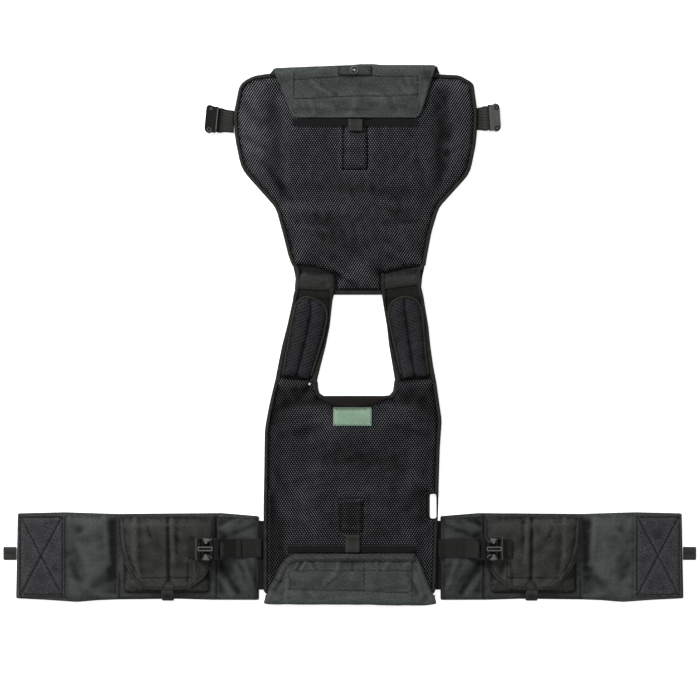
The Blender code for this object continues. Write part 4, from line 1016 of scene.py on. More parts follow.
def make_studio():
    """The camera straight above, white all round, three soft lamps and the paper."""
    camera = bpy.data.cameras.new("camera")
    camera.lens, camera.sensor_width = LENS, SENSOR
    camera.clip_end = 50
    height = VIEW_WIDTH * LENS / SENSOR + VEST_MIDDLE_Z
    bpy.context.scene.camera = placed("camera", camera, (CAMERA_X, CAMERA_Y, height))
    world = bpy.data.worlds.new("studio")
    bpy.context.scene.world = world
    world.use_nodes = True
    sky = world.node_tree.nodes["Background"].inputs
    sky["Color"].default_value = (1, 1, 1, 1)
    sky["Strength"].default_value = SKY
    for k, (x, y, z, side, power) in enumerate(LAMPS):
        light = bpy.data.lights.new(f"lamp_{k}", "AREA")
        light.size, light.energy = side, power
        lamp = placed(f"lamp_{k}", light, (x, y, z))
        tilt = math.acos(z / math.hypot(x, y, z))
        lamp.rotation_euler = (tilt, 0.0, math.atan2(-y, -x) - math.pi / 2)
    bpy.context.scene.view_settings.view_transform = "Standard"
    corners = [(-1, -1), (1, -1), (1, 1), (-1, 1)]
    flat = np.array([(x * FLOOR_REACH, y * FLOOR_REACH, FLOOR_Z) for x, y in corners], float)
    add_mesh("floor", flat, [(0, 1, 2, 3)], flat[:, :2], floor_material())


# The two panels.


def front_lift(x, y):
    """How far the pocket's mouth stands up under the front flap."""
    return MOUTH_LIFT * plateau(x, -92, 112, 40) * plateau(y, 440, 470, 70)


def strap_lift(x, y):
    """The back lining climbs onto the shoulder straps' ends."""
    return 3.1 * smooth((y + 98) / 16)


def back_lift(x, y):
    """How far the back's mouth, and the passages of the wings at its sides, stand up."""
    mouth = MOUTH_LIFT * plateau(x, -92, 92, 40) * plateau(y, -470, -440, 50)
    side = PASSAGE_LIFT * plateau(y, -446, -280, 16) * plateau(np.abs(x), 130, 170, 30)
    return np.maximum(mouth, side)


def lining_top(lift, dome, fold_rows, crease_rows, patch_dent, seed, patch):
    """The lining's upper face from x, y and the distance to its own edge, under the tape."""
    broad, fine = wander(seed, 85), wander(seed + 1, 26)

    def top(x, y, away):
        inside = np.maximum(away - TUCK, 0)
        swell = dome * ease(inside / DOME_RISE)
        raised = (swell**4 + lift(x, y) ** 4) ** 0.25
        z = RIM_BASE + raised + folds(x, y, fold_rows) * ease(inside / 26) * (swell / dome)
        z += folds(x, y, crease_rows) * smooth(inside / 18)
        z += (0.55 * broad(x, y) + 0.14 * fine(x, y)) * smooth(inside / 30)
        z += groove(x, y, patch, patch_dent, 2.2, 0.15)
        z += strap_lift(x, y) * (y < -60)
        rim = 1 - 0.65 * (1 - smooth(away / 3.6))
        return z + LINING_T * rim

    return top


def panel_run(rows):
    """The edge of a panel that its binding follows."""
    return resampled(rounded(rows, closed=False), 5.0)


def notched(loop, slot):
    """A lining's loop cut in at its side, round a slot."""
    x0, y0, x1, y1 = slot
    notch = [(x0 + 3, y0), (x0, y0 + 4), (x0, y1 - 4), (x0 + 3, y1)]
    notch = np.array([(x1 + 9, y0), *notch, (x1 + 9, y1)]) + (-4.5, 0)
    near = (loop[:, 0] > 120) & (loop[:, 1] < y1 + 1) & (loop[:, 1] > y0 - 1)
    first = int(np.argmax(near))
    rest = loop[~near]
    return np.vstack([rest[:first], notch, rest[first:]])


def make_lining(name, run, end, lift, dome, rows, seed, patch, finish, shades, slot=None, holes=()):
    """A mesh lining, tucked under its edge tape and ending at the shoulders and the neck."""
    loop = np.vstack([shifted(run, LINING_INSET - TUCK), rounded(end, closed=False)])
    if slot is not None:
        loop = notched(loop, slot)
    top = lining_top(lift, dome, *rows, seed, patch)

    def low(x, y, away):
        return top(x, y, away) - LINING_T * (0.5 + 0.5 * smooth(away / 3.6))

    def shade(x, y):
        return folds(x, y, shades)

    made = sheet(name, loop, 4.0, top, low, finish, seams=patch, holes=holes, shade=shade)
    ground.add(loop, surface(top, loop))
    dress(made, name.replace("_mesh", ""))


def make_shell(name, run, end, shades=(), holes=()):
    """The outer cloth under a panel, which lies on the floor."""
    loop = np.vstack([shifted(run, 1.5), rounded(end, closed=False)])
    wave = wander(len(name), 120)
    cell = 8 if shades else 12

    def low(x, y, away):
        return 0.05 + 0.5 * (1 - smooth(away / 6))

    def top(x, y, away):
        return low(x, y, away) + SHELL_T * 0.8 - 0.3 * (1 - smooth(away / 3)) + 0.05 * wave(x, y)

    def shade(x, y):
        return folds(x, y, shades)

    made = sheet(name, loop, cell, top, low, SHELL, holes=holes, shade=shade)
    dress(made, name.replace("_cloth", ""))


# A binding's section: how far in from the panel's edge, and the share of its height.
TAPE_PROFILE = np.array([
    (6.6, 0.80), (5.8, 0.96), (4.2, 1.0), (2.4, 0.99), (0.9, 0.86), (0.1, 0.62), (0.0, 0.36), (0.5, 0.10),
    (1.6, 0.0), (4.4, 0.0), (6.2, 0.08), (6.6, 0.4),
])
TAPE_REACH = 6.6  # the section's width
TAPE_SEAM = 5.0  # where it is sewn
# Painted light and shade across the section: pale on its crown, dark at its inner edge, down its outer side
# and under it.
TAPE_TONE = np.array([0.75, 0.25, -0.25, -0.05, 0.1, 0.45, 0.7, 0.8, 0.8, 0.8, 0.8, 0.8])


def make_tape(name, run, lift, node, width=1.0, seed=5):
    """Binding folded round a panel's edge, with the ripple that sewing gives it."""
    width = np.ones(len(run)) * width
    raised = lift(run[:, 0], run[:, 1])
    low = (RIM_BASE + raised) * smooth(raised / 2.0) + 0.02
    high = RIM_BASE + raised + TAPE_H
    ripple = wander(seed, 16)(run[:, 0], run[:, 1])
    profile = np.repeat(TAPE_PROFILE[None], len(run), axis=0)
    profile[:, :, 0] *= width[:, None]
    profile[:, :, 1] = low[:, None] + profile[:, :, 1] * (high - low + 0.22 * ripple)[:, None]
    profile[:, :, 0] += 0.14 * np.roll(ripple, 3)[:, None] * (TAPE_PROFILE[:, 0] > 4)
    bind(name, node, run, profile, TAPE, ripple)
    strip = np.vstack([run, (run + inward(run) * TAPE_REACH * width[:, None])[::-1]])
    ground.add(strip, lambda x, y: RIM_BASE + TAPE_H + lift(x, y))
    line = (run + inward(run) * TAPE_SEAM * width[:, None])[width > 0.6]
    sew([line], lambda x, y: RIM_BASE + TAPE_H + lift(x, y) - 0.1)


def bind(name, node, run, profile, finish, ripple):
    """A tape of that profile along a run, with painted shade at its foot and painted light on its crown."""
    made = sweep(name, run, profile, finish, tone=TAPE_TONE[None] + 0.22 * ripple[:, None])
    dress(made, node)


def across_rows(rows, y):
    """A flap's left and right x at y."""
    ordered = sorted(rows)
    ys = [r[0] for r in ordered]
    return np.interp(y, ys, [r[1] for r in ordered]), np.interp(y, ys, [r[2] for r in ordered])


FLAP_COLUMNS, FLAP_TURNS, FLAP_STEP = 111, 9, 2.4  # a flap's grid: points, rows in the fold, step
FOLD_ROWS = 2 + FLAP_TURNS  # the rows of a flap's grid that lie under it and in its fold


def make_flap(name, node, rows, fold, flare, seams, creases, edge_width, seed, pale=0.0):
    """A pocket flap: up from under the hem, round it, and down over the lining."""
    out = 1 if fold[0][1] > 0 else -1  # the way from the panel to the fold
    half = FLAP_T / 2
    first, hem, last = rows[0][0], rows[1][0], rows[-1][0]
    drape = ground.draped(3)
    share = np.linspace(0, 1, FLAP_COLUMNS)

    def xs(y_row, wider=0.0):
        left, right = across_rows(rows, y_row)
        return left - wider + (right - left + 2 * wider) * share

    fold_x, fold_y = np.array(fold, float).T
    ends = xs(first)
    top = drape.at(ends, np.full(FLAP_COLUMNS, hem - out * 5.0)) + GAP + half + 0.4
    radius = (top - half) / 2
    soft = wander(seed + 1, 42)
    wave = 0.5 * np.sin(ends * 0.09 + seed) + 0.5 * wander(seed, 40)(ends, 0)

    def centre(x):
        return np.interp(x, fold_x, fold_y) - out * (radius + half)

    # The rows under the hem are painted dark, and the fold darker towards them: painted shade.
    lines, tones = [], [0.8, 0.8]
    hem_line = np.full(FLAP_COLUMNS, hem + out * GAP)
    for wider, y in ((flare, hem_line), (flare / 2, centre(xs(first, flare / 2)))):
        lines.append(np.column_stack([xs(first, wider), y, np.full(FLAP_COLUMNS, half)]))
    for turn in np.linspace(0, math.pi, FLAP_TURNS):
        bulge = 0.5 * np.minimum(wave, 0) * math.sin(turn)
        y = centre(ends) + out * (radius * math.sin(turn) + bulge)
        lines.append(np.column_stack([ends, y, half + radius * (1 - math.cos(turn))]))
        tones.append(0.8 * (1 - turn / math.pi))
    # pale paints the whole flap lighter, as painted light.
    tones = [tone - pale for tone in tones]
    steps = round(abs(last - first) / FLAP_STEP)
    for part in np.arange(1, steps + 1) / steps:
        x = xs(first + (last - first) * part)
        y = centre(ends) + (last - centre(ends)) * part
        z = drape.at(x, y) + GAP + half
        z = z + np.maximum(top - z, 0) * smooth(((y - hem) * out + 12) / 12)
        z += 0.45 * soft(x, y) + 0.35
        z += folds(x, y, creases) * smooth(np.abs(y - last) / 8)
        lines.append(np.column_stack([x, y, z]))
        tones.append(-pale)
    grid = np.array(lines)
    if out > 0:
        grid = grid[:, ::-1]
    over = (np.arange(len(lines)) >= FOLD_ROWS).astype(float)[:, None]
    x, y = grid[:, :, 0], grid[:, :, 1]
    relief = groove(x, y, seams, 0.8, 1.0, 0.16) * over
    rim = grid[FOLD_ROWS:, :, :2]
    outline = np.vstack([rim[:, 0], rim[-1, 1:-1], rim[::-1, -1]])
    inside = from_line(x, y, outline, closed=False) - edge_width
    relief -= (0.55 * smooth(inside / 1.2 + 0.5) + 0.4 * bump(inside, 1)) * over
    made = plate(name, grid, FLAP_T, SHELL, relief + 0.55 * over, shade=np.array(tones)[:, None])
    dress(made, node)
    ground.add_points((grid + (0, 0, half + 0.5)).reshape(-1, 3))
    laid = ground.draped(0)
    sew(seams, lambda x, y: laid.at(x, y) - 0.55)
    sewn = resampled(outline, 3.0)
    sewn = sewn[from_line(sewn[:, 0], sewn[:, 1], grid[FOLD_ROWS - 1, :, :2], closed=False) > 9]
    sew([sewn - inward(sewn) * (edge_width - 1.5)], lambda x, y: laid.at(x, y) - 0.25)


# Small pieces laid on the panels.


SHALLOW, DEEP = (0.45, 1.2, 0.15), (0.9, 1.1, 0.15)  # seams: depth, width, pucker


def lay(
    name, node, loop, thickness, finish, cell=3.0, seams=(), extra=None, reach=2, rise=0.25,
    seam=SHALLOW, shade=None, strip=None,
):
    """A cloth laid on the ground: extra(x, y, away) is its relief, and its seams are pulled in."""
    drape = ground.draped(reach)

    def low(x, y, away):
        return drape.at(x, y) + rise

    def top(x, y, away):
        edge = 1 - 0.6 * (1 - smooth(away / (thickness * 0.9))) ** 2
        z = low(x, y, away) + thickness * edge + groove(x, y, seams, *seam)
        return z + (0 if extra is None else extra(x, y, away))

    cloth(name, node, loop, cell, top, low, finish, seams, shade, 0.05, strip)


def frame_lines(box, inset, open_side=None):
    """The lines of a border inside a box, each a seam of its own."""
    x0, y0, x1, y1 = box[0] + inset, box[1] + inset, box[2] - inset, box[3] - inset
    corners = [(x0, y0), (x1, y0), (x1, y1), (x0, y1), (x0, y0)]
    sides = zip(("low", "right", "high", "left"), corners, corners[1:])
    return [np.array(ends, float) for side, *ends in sides if side != open_side]


def make_tab(name, node, box, drop, sewn="high"):
    """A pull tab of folded webbing, sewn near the flap and round at its free end."""
    width, length = box[2] - box[0], box[3] - box[1]

    def puff(x, y, away):
        end = (y - box[1]) / length if sewn == "high" else (box[3] - y) / length
        return drop * smooth(1 - end * 1.4) + 0.3 * np.cos((x - box[0]) / width * math.pi * 2)

    y = box[3] - 4 if sewn == "high" else box[1] + 4
    cross = np.array([(box[0] + 2, y), (box[2] - 2, y)], float)
    lay(name, node, box_loop(box), box[4] * 0.8, WEB, 2.4, [cross], puff)


# The snap's section, from its rim to its middle: radius, height.
SNAP_PROFILE = [
    (6.8, -0.5), (6.8, 0.4), (6.5, 1.0), (6.0, 1.3), (5.5, 1.1), (5.1, 0.5), (4.6, 0.1), (3.4, 0.05),
    (2.7, 0.4), (2.5, 1.2), (2.0, 1.6), (1.3, 1.5), (0.9, 0.9), (0.02, 0.7), (0.02, -0.5),
]
SNAP_SIDES = 40


def make_snap():
    """The snap's eyelet ring and stud, turned from one profile."""
    base = float(ground.draped(2).at(*SNAP_AT)) + 0.3
    x0, y0 = SNAP_AT
    turns = [2 * math.pi * k / SNAP_SIDES for k in range(SNAP_SIDES)]
    points, uvs = [], []
    for radius, up in SNAP_PROFILE:
        points += [(x0 + radius * math.cos(a), y0 + radius * math.sin(a), base + up) for a in turns]
        uvs += [(radius, a) for a in turns]
    index = np.arange(len(points)).reshape(-1, SNAP_SIDES)
    after = np.roll(index, -1, axis=1)
    quads = np.stack([index[:-1], after[:-1], after[1:], index[1:]], axis=-1)
    faces = quads.reshape(-1, 4).tolist() + [index[0].tolist(), index[-1][::-1].tolist()]
    from_ring = [abs(radius - 4.2) for radius, _ in SNAP_PROFILE]
    tone = np.interp(from_ring, [0, 1.4, 1.9], [1.0, 0.9, -0.6]).repeat(SNAP_SIDES)
    made = add_mesh("snap_ring", points, faces, uvs, METAL, tone=tone)
    dress(made, "snap_button")


def patch_shade(x, y, box):
    """A small patch painted a little darker, with painted shade along its sides and lower edge."""
    x0, x1, low, above = box[0] + 1.5, box[2] - 1.5, box[1] + 1.2, 490
    edge = np.array([(x0, above), (x0, low), (x1, low), (x1, above)])
    return 0.12 + 0.75 * bump(from_line(x, y, edge, closed=False), 1.7)


def make_corner(name, corners):
    """The end of the panel's binding that shows beyond the flap's fold, painted dark as the shade there."""
    loop = rounded([(x, y, 1.5) for x, y in corners])
    lay(name, None, loop, 2.4, TAPE, 2.0, reach=1, rise=0.1, shade=level(0.75))


def seam_lines(*lines):
    """Seams as arrays of x, y."""
    return [np.array(line, float) for line in lines]


FRONT_FLAP_SEAMS = seam_lines(
    [(-97.5, 456), (-97.5, 415)], [(118.5, 452), (118.5, 413)], [(-97.5, 446), (-22, 451)],
    [(39, 452), (118.5, 452)], [(-97.5, 411.5), (-20, 415.5), (40, 416.5), (118.5, 418.5)],
)
FRONT_FLAP_CREASES = [
    (-66, 440, -34, 424, 6, 1.1), (-50, 436, -24, 419, 4, -1.0), (20, 436, 60, 424, 8, -0.9),
    (88, 440, 104, 420, 6, 1.0), (-124, 436, -108, 400, 6, -0.9), (-80, 404, -30, 396, 7, 0.9),
    (40, 402, 96, 396, 7, -0.8), (134, 440, 126, 404, 5, 0.9), (-70, 410, -62, 388, 5, 0.8),
    (10, 410, 4, 388, 6, 0.8), (70, 412, 78, 390, 6, -0.7), (100, 446, 110, 424, 5, 0.8),
]


def make_front_panel():
    """The front panel, from the outer cloth up to its flap, the snap and the patch under it."""
    run = panel_run(FRONT_EDGE)
    x0, y0, x1, y1 = FRONT_PATCH[:4]
    patch = frame_lines((x0, y0, x1, y1 + 12), 0, "high")
    make_shell("front_shell_cloth", run, FRONT_SHELL_END, KEEPER_SHADOWS)
    relief = (FRONT_FOLDS, FRONT_CREASES, 1.9)
    make_lining(
        "front_lining_mesh", run, FRONT_LINING_END, front_lift, FRONT_DOME, relief, 3, patch, MESH,
        FRONT_SHADES,
    )
    make_tape("front_binding", run, front_lift, "front_edge_tape")
    neck = resampled([(-25, 70.5), (54, 70.5)], 4)
    make_tape("front_neck_binding", neck, level(0), "front_neck_tape", 1.05, 8)

    def puff(x, y, away):
        return 0.9 * smooth(away / 9) + 0.3 * np.sin(y * 0.25)

    lay(
        "front_patch_mesh", "front_mesh_patch", box_loop(FRONT_PATCH), FRONT_PATCH[4] * 0.7, MESH,
        3, frame_lines(FRONT_PATCH, 2.4, "high"), puff,
    )
    make_corner("front_corner_left", [(-140.5, 455), (-133.6, 466.4), (-126, 467), (-124, 449)])
    make_corner("front_corner_right", [(158, 454), (153.2, 471), (144, 471), (144, 450)])
    make_strip("front", FRONT_STRIP)
    make_tab("front_tab_webbing", "front_flap_tab", FRONT_TAB, 0.4)
    make_flap(
        "front_flap_cloth", "front_flap", FRONT_FLAP_ROWS, FRONT_FOLD, FRONT_FLARE, FRONT_FLAP_SEAMS,
        FRONT_FLAP_CREASES, 5.0, 21,
    )
    x0, y0, x1, y1 = SNAP_PATCH[:4]
    lines = frame_lines(SNAP_PATCH, 2.2)
    lines += seam_lines(*([(x, y0 + 2), (x, y1 - 2)] for x in (x0 + 5.2, x1 - 5.2)))
    lay(
        "snap_patch_cloth", "snap_patch", box_loop(SNAP_PATCH), SNAP_PATCH[4], WING, 2.2,
        lines, reach=1, shade=lambda x, y: patch_shade(x, y, SNAP_PATCH),
    )
    make_snap()


def make_strip(panel, box):
    """The hook and loop strip at a flap's free end."""
    name, node = panel + "_loop_pile", panel + "_loop_strip"
    lay(name, node, box_loop(box, 1.5), 1.6, DARK_PILE, 4)


def tape_width(run):
    """The back tape's share of its width: beside the slot only its outermost strip is left."""
    beside = (run[:, 0] > 100) & (run[:, 1] > SLOT[1] - 1) & (run[:, 1] < SLOT[3] + 1)
    return np.where(beside, 0.36, 1.0)


BACK_FLAP_SEAMS = seam_lines(
    [(-100, -412.3), (108, -412.3)], [(-108, -445), (-20, -446), (102, -450.5)], [(25, -392), (25, -448)],
    [(-107, -414), (-104, -440)], [(109, -398), (109, -466)],
)
BACK_FLAP_CREASES = [
    (-118, -424, -96, -398, 5, 1.4), (-132, -446, -112, -418, 5, -1.3), (-44, -432, -26, -418, 5, 0.7),
    (-38, -436, -22, -424, 3, -0.5), (-66, -396, -58, -410, 4, -1.0), (66, -398, 60, -410, 4, 0.9),
    (118, -420, 132, -448, 6, 1.1), (-128, -462, -104, -452, 6, 1.1), (40, -440, 92, -432, 7, 0.8),
    (-20, -462, 60, -458, 6, 0.7), (-84, -400, -92, -412, 3.5, -1.2), (-96, -398, -106, -412, 3.5, -1.3),
    (-78, -398, -86, -410, 3, 1.0), (-20, -398, -22, -411, 3.5, 0.8), (6, -396, 4, -411, 3, -0.7),
    (46, -398, 48, -411, 3, 0.7), (96, -404, 106, -396, 4, 0.9), (-60, -458, -70, -449, 4, 0.9),
    (-108, -430, -112, -462, 4, 0.9), (102, -418, 118, -450, 4, -0.9), (116, -430, 124, -456, 5, 1.0),
]


def make_back_panel():
    """The back panel, from the outer cloth up to its flap."""
    run = panel_run(BACK_EDGE)
    x0, y0, x1, y1 = BACK_PATCH[:4]
    patch = frame_lines((x0, y0 - 10, x1, y1), 0, "low")
    eyelet = rounded([(x, y, 1.5) for x, y in GAP_AT_NECK])
    make_shell("back_shell_cloth", run, BACK_SHELL_END, (), [eyelet, box_loop(SLOT, 4)])
    relief = (BACK_FOLDS, BACK_CREASES, 0.5)
    make_lining(
        "back_lining_mesh", run, BACK_LINING_END, back_lift, BACK_DOME, relief, 12, patch, BACK_MESH,
        BACK_SHADES, SLOT, [eyelet],
    )
    make_tape("back_binding", run, back_lift, "back_edge_tape", tape_width(run), 9)
    make_neck_facing()

    def puff(x, y, away):
        return 1.0 * smooth(away / 8) + 1.1 * smooth((y + 296) / 8)

    # The patch is painted darker, with painted light along its raised upper rim.
    def shade(x, y):
        below_rim = y - y1 + 1.5 - (x - x1) * 0.08
        return 0.5 - 1.1 * bump(below_rim, 1.6)

    rows = [(x0, y0, 2), (x1, y0, 2), (x1 + 1, y1 + 1, 2), (x0, y1 - 5, 2)]
    lay(
        "back_patch_mesh", "back_mesh_patch", rounded(rows), BACK_PATCH[4] * 0.7, BACK_MESH,
        3, frame_lines(BACK_PATCH, 2.4, "low"), puff, shade=shade,
    )
    make_strip("back", BACK_STRIP)
    lay(
        "label_woven", "sewn_label", box_loop(LABEL, 1), 0.9, LABEL_CLOTH, 2.6,
        frame_lines(LABEL, 1.7), seam=(0.35, 1.0, 0.12),
    )
    make_tab("back_tab_webbing", "back_flap_tab", BACK_TAB, 0.4, "low")
    make_flap(
        "back_flap_cloth", "back_flap", BACK_FLAP_ROWS, BACK_FOLD, BACK_FLARE, BACK_FLAP_SEAMS,
        BACK_FLAP_CREASES, 10.5, 33, 0.21,
    )


def make_neck_facing():
    """The brown facing of the back's neck, sewn along its rim."""
    facing = rounded(NECK_FACING)
    hem = shifted(resampled(facing, 4, closed=True), 2.4, closed=True)

    def top(x, y, away):
        edge = 0.5 + 0.5 * smooth(away / 2.5)
        return RIM_BASE + 3.4 * edge + groove(x, y, [hem], 0.5, 1.2, 0.2)

    name = "neck_facing"
    cloth(name + "_cloth", name, facing, 3, top, level(RIM_BASE), FACING, [hem])


# The outer line of the back flap's hem: x, y, corner radius.
FLAP_HEM = [
    (-133, -428, 0), (-121, -402, 16), (-104, -384.5, 24), (-80, -383.5, 10), (113, -383.5, 0),
]
FLAP_HEM_W = 11.5


def make_flap_hem():
    """The tape round the back flap's free edge, wide along its top and its left corner."""
    edge = resampled(rounded(FLAP_HEM, closed=False), 3)
    loop = np.vstack([edge, shifted(edge, -FLAP_HEM_W)[::-1]])
    lines = [shifted(edge, -2.2)[2:-2], shifted(edge, -9.3)[2:-2]]

    def puff(x, y, away):
        return 0.35 * smooth(away / 3) + 0.08 * np.sin(x * 0.34 + 1.7 * np.sin(x * 0.11))

    lay(
        "back_flap_hem", None, loop, 0.8, HEM_TAPE, 2.4, lines, puff, 1, 0.15,
        (0.6, 1.2, 0.35), strip=(float(run_of(edge)[-1]), FLAP_HEM_W),
    )


# Shoulders.


STRAP_STEP, STRAP_COLUMNS = 4.0, 15
CLIMB_AT, CLIMB = 62, 8  # where a strap climbs onto the front panel's rim, and over what length


def strap_climb(y):
    """How far a strap climbs onto the front panel."""
    return RIM_BASE * smooth((y - CLIMB_AT) / CLIMB)


def make_shoulder(side, strap_rows, pad_rows, keeper, edges, seed):
    """A strap with its keeper, its two bindings and its padded sleeve."""
    rows = np.array(strap_rows, float)[::-1]
    ys = np.arange(rows[0, 0], rows[-1, 0] + 0.1, STRAP_STEP)
    outer, inner = np.interp(ys, rows[:, 0], rows[:, 1]), np.interp(ys, rows[:, 0], rows[:, 2])
    pull = np.sign(inner - outer) * 2.5
    outer, inner = outer + pull, inner - pull
    share = np.linspace(0, 1, STRAP_COLUMNS)
    grid = np.empty((len(ys), STRAP_COLUMNS, 3))
    grid[:, :, 0] = outer[:, None] + (inner - outer)[:, None] * share
    grid[:, :, 1] = ys[:, None]
    grid[:, :, 2] = STRAP_T / 2 + strap_climb(ys[:, None]) + 0.02
    if side == "right":
        grid = grid[:, ::-1]
    strap = plate(f"strap_{side}_cloth", grid, STRAP_T * 0.92, STRAP_CLOTH)
    dress(strap, "shoulder_strap_" + side)
    ground.add_points((grid + (0, 0, STRAP_T / 2)).reshape(-1, 3))
    outline = np.vstack([grid[:, 0, :2], grid[::-1, -1, :2]])
    ground.add(outline, lambda x, y: STRAP_T + strap_climb(y))
    make_keeper(side, keeper, seed)
    for name, rows, finish in (("outer", edges[0], TAPE), ("inner", edges[1], BROWN_TAPE)):
        make_strap_edge(f"strap_{side}_{name}_binding", rows, finish, seed)
    make_pad(side, pad_rows, seed)


def make_keeper(side, corners, seed):
    """The cloth sleeve across a strap's end, with its own sewn hem."""
    loop = rounded([(x, y, 3) for x, y in corners])
    hem = shifted(resampled(loop, 4, closed=True), 2.6, closed=True)
    lumps = wander(seed, 18)

    def puff(x, y, away):
        return 0.2 * lumps(x, y) * smooth(away / 5) + 0.7 * smooth(away / 7)

    lay(
        f"keeper_{side}_cloth", "strap_keeper_" + side, loop, KEEPER_T, KEEPER_CLOTH, 3.2,
        [resampled(hem, 4)], puff,
    )


def make_strap_edge(name, rows, finish, seed):
    """A binding along a strap's edge, whose width and height follow its rows."""
    rows = np.array(rows, float)
    line = [(x, y, 9) for x, y in rows[:, :2]]
    line = resampled(rounded(line, closed=False, turn=12), 3.0)
    far, run = run_of(rows[:, :2]), run_of(line)
    share = run / run[-1] * far[-1]
    width, height = np.interp(share, far, rows[:, 2]), np.interp(share, far, rows[:, 3])
    ripple = wander(seed + 3, 14)(line[:, 0], line[:, 1])
    profile = np.repeat(TAPE_PROFILE[None], len(line), axis=0)
    profile[:, :, 0] *= (width / TAPE_REACH)[:, None]
    profile[:, :, 1] = 0.05 + profile[:, :, 1] * (height + 0.25 * ripple)[:, None]
    bind(name, None, line, profile, finish, ripple)
    ground.add_points(np.column_stack([line + inward(line) * (width * 0.5)[:, None], height]))

    def seam_height(x, y):
        return np.interp(np.arange(len(x)), np.linspace(0, len(x) - 1, len(height)), height)

    for away in (0.24, 0.76):
        sew([line + inward(line) * (width * away)[:, None]], seam_height)


PAD_SPIN = 68  # how far the sleeve's mesh is turned, in degrees
PAD_TAPE_H = 3.6


def make_pad(side, rows, seed):
    """A padded mesh sleeve on a strap, its two halves swelling from a sewn middle line."""
    rows = np.array(rows, float)
    bands = np.array(PAD_BANDS, float)[::-1]
    ys = (rows[:, 0] + rows[:, 1]) / 2
    way = np.sign(rows[:, 3] - rows[:, 2])
    rows[:, 2] += way * np.interp(ys, bands[:, 0], bands[:, 1])
    rows[:, 3] -= way * np.interp(ys, bands[:, 0], bands[:, 2])
    for row, further in ((0, 3.0), (1, 2.0), (-1, 0.5)):
        rows[row, :2] += further
    loop = facing_up(np.vstack([rows[:, [2, 0]], rows[::-1][:, [3, 1]]]))
    radii = [4 if y < -60 else 16 for x, y in loop]
    loop = resampled(rounded([(x, y, r) for (x, y), r in zip(loop, radii)]), 3.2, closed=True)
    middle = np.stack([(rows[:, 2] + rows[:, 3]) / 2, (rows[:, 0] + rows[:, 1]) / 2], axis=1)[1:]
    seat = STRAP_T + GAP
    lumps = wander(seed, 24)

    def top(x, y, away):
        seam = from_line(x, y, middle, closed=False)
        swell = PAD_RIM + (PAD_CROWN - PAD_RIM) * ease((away + 1) / 17)
        swell += 0.4 * lumps(x, y) * smooth(away / 8)
        swell -= PAD_SEAM * bump(seam, 6) + 1.4 * bump(seam, 1.5)
        swell -= 1.2 * smooth((-62 - y) / 12)
        return seat + swell * (0.55 + 0.45 * smooth(away / 2.5))

    spin = math.radians(PAD_SPIN if side == "left" else -PAD_SPIN)
    name = f"pad_{side}_mesh"
    made = sheet(name, loop, 3.2, top, level(seat + 0.1), PAD_MESH, seams=[middle], spin=spin)
    dress(made, "shoulder_pad_" + side)
    ground.add(loop, surface(top, loop))
    sew([middle], surface(top, loop))
    rim = shifted(loop, -3.0, closed=True)
    lowest = np.argmin(rim[:, 1] + 0.3 * rim[:, 0] * np.sign(rim[0, 0]))
    rim = np.roll(rim, -int(lowest), axis=0)
    high = rim[:, 1] > rim[:, 1].min() + 9  # the tape leaves the sleeve's lower end free
    rim = rim[np.argmax(high):len(rim) - np.argmax(high[::-1])]
    ripple = wander(seed + 4, 12)(rim[:, 0], rim[:, 1])
    profile = TAPE_PROFILE * (0.6, PAD_TAPE_H) + (0, seat + 0.1)
    profile = np.repeat(profile[None], len(rim), axis=0)
    profile[:, :, 1] += 0.2 * ripple[:, None] * (TAPE_PROFILE[:, 1] > 0.5)
    bind(f"pad_{side}_binding", "pad_tape_" + side, rim, profile, TAPE, ripple - 1.0)
    sew([shifted(rim, 2.0)], level(seat + PAD_TAPE_H))


# Webbing and buckles.


def bar_loop(bar_end, low, high, steps=10):
    """The half turn of a webbing's path round the end of a bar."""
    middle, radius = (low + high) / 2, (high - low) / 2
    turns = np.linspace(0, math.pi, steps)
    return [(bar_end + radius * math.sin(a), middle - radius * math.cos(a)) for a in turns]


def web(name, node, path, width, place, finish, shade=level(0)):
    """Webbing along a path of x, z; place gives points for x, the way across, and z."""
    path = resampled(path, 1.5)
    share = np.linspace(-1, 1, 13)
    grid = np.array([[place(x, s * width / 2, z) for s in share] for x, z in path])
    tone = shade(path[:, 0], 0)[:, None]
    made = plate(name, grid, WEB_T * 0.94, finish, edge=0.6, shade=tone)
    dress(made, node)


def make_chest_strap(side, at):
    """The webbing from the panel's edge round the bar of a chest socket and back."""
    x0, y0, degrees, edge = at
    c, s = math.cos(math.radians(degrees)), math.sin(math.radians(degrees))
    low = WEB_T / 2
    high = WEB_T + GAP + BAR_T + GAP + WEB_T / 2
    doubled = WEB_T * 1.5 + GAP + 0.1
    bar_from, bar_to = CHEST_BAR
    path = [(edge - 1.0, low), (18.0, low)] + bar_loop(bar_to, low, high)
    path += [(bar_from - 0.6, high + 0.1), (24.0, high - 0.6), (18.0, doubled + 0.5)]
    path.append((edge + 0.5, doubled))

    def place(x, across, z):
        slant = across * s / c * (1 - np.clip((x - edge) / 16, 0, 1))
        across = across * (1 + 0.11 * bump(x - 23, 7))
        return x0 + c * (x + slant) - s * across, y0 + s * (x + slant) + c * across, z

    lip = CHEST_LIP[side][0]

    # Painted shadow where the webbing runs in under the shell, painted shade near the panel and painted light
    # on the fold.
    def shade(x, y):
        return 0.85 * smooth((x - lip + 6) / 4) + 0.3 * bump(x - edge - 1, 4) - 0.3 * bump(x - lip + 9, 3)

    name = f"chest_{side}_webbing"
    web(name, "chest_strap_" + side, path, CHEST_WEB_W, place, CHEST_WEB, shade)

    def world(x, across):
        px, py, _ = place(np.array(x, float), np.array(across, float), 0)
        return np.column_stack([px, py])

    make_chest_shell(side, world)
    for x in (edge + 3.0, edge + 6.0):
        sew([world([x, x], [-17, 17])], level(doubled + WEB_T / 2 - 0.05), 2.6, 2.0)


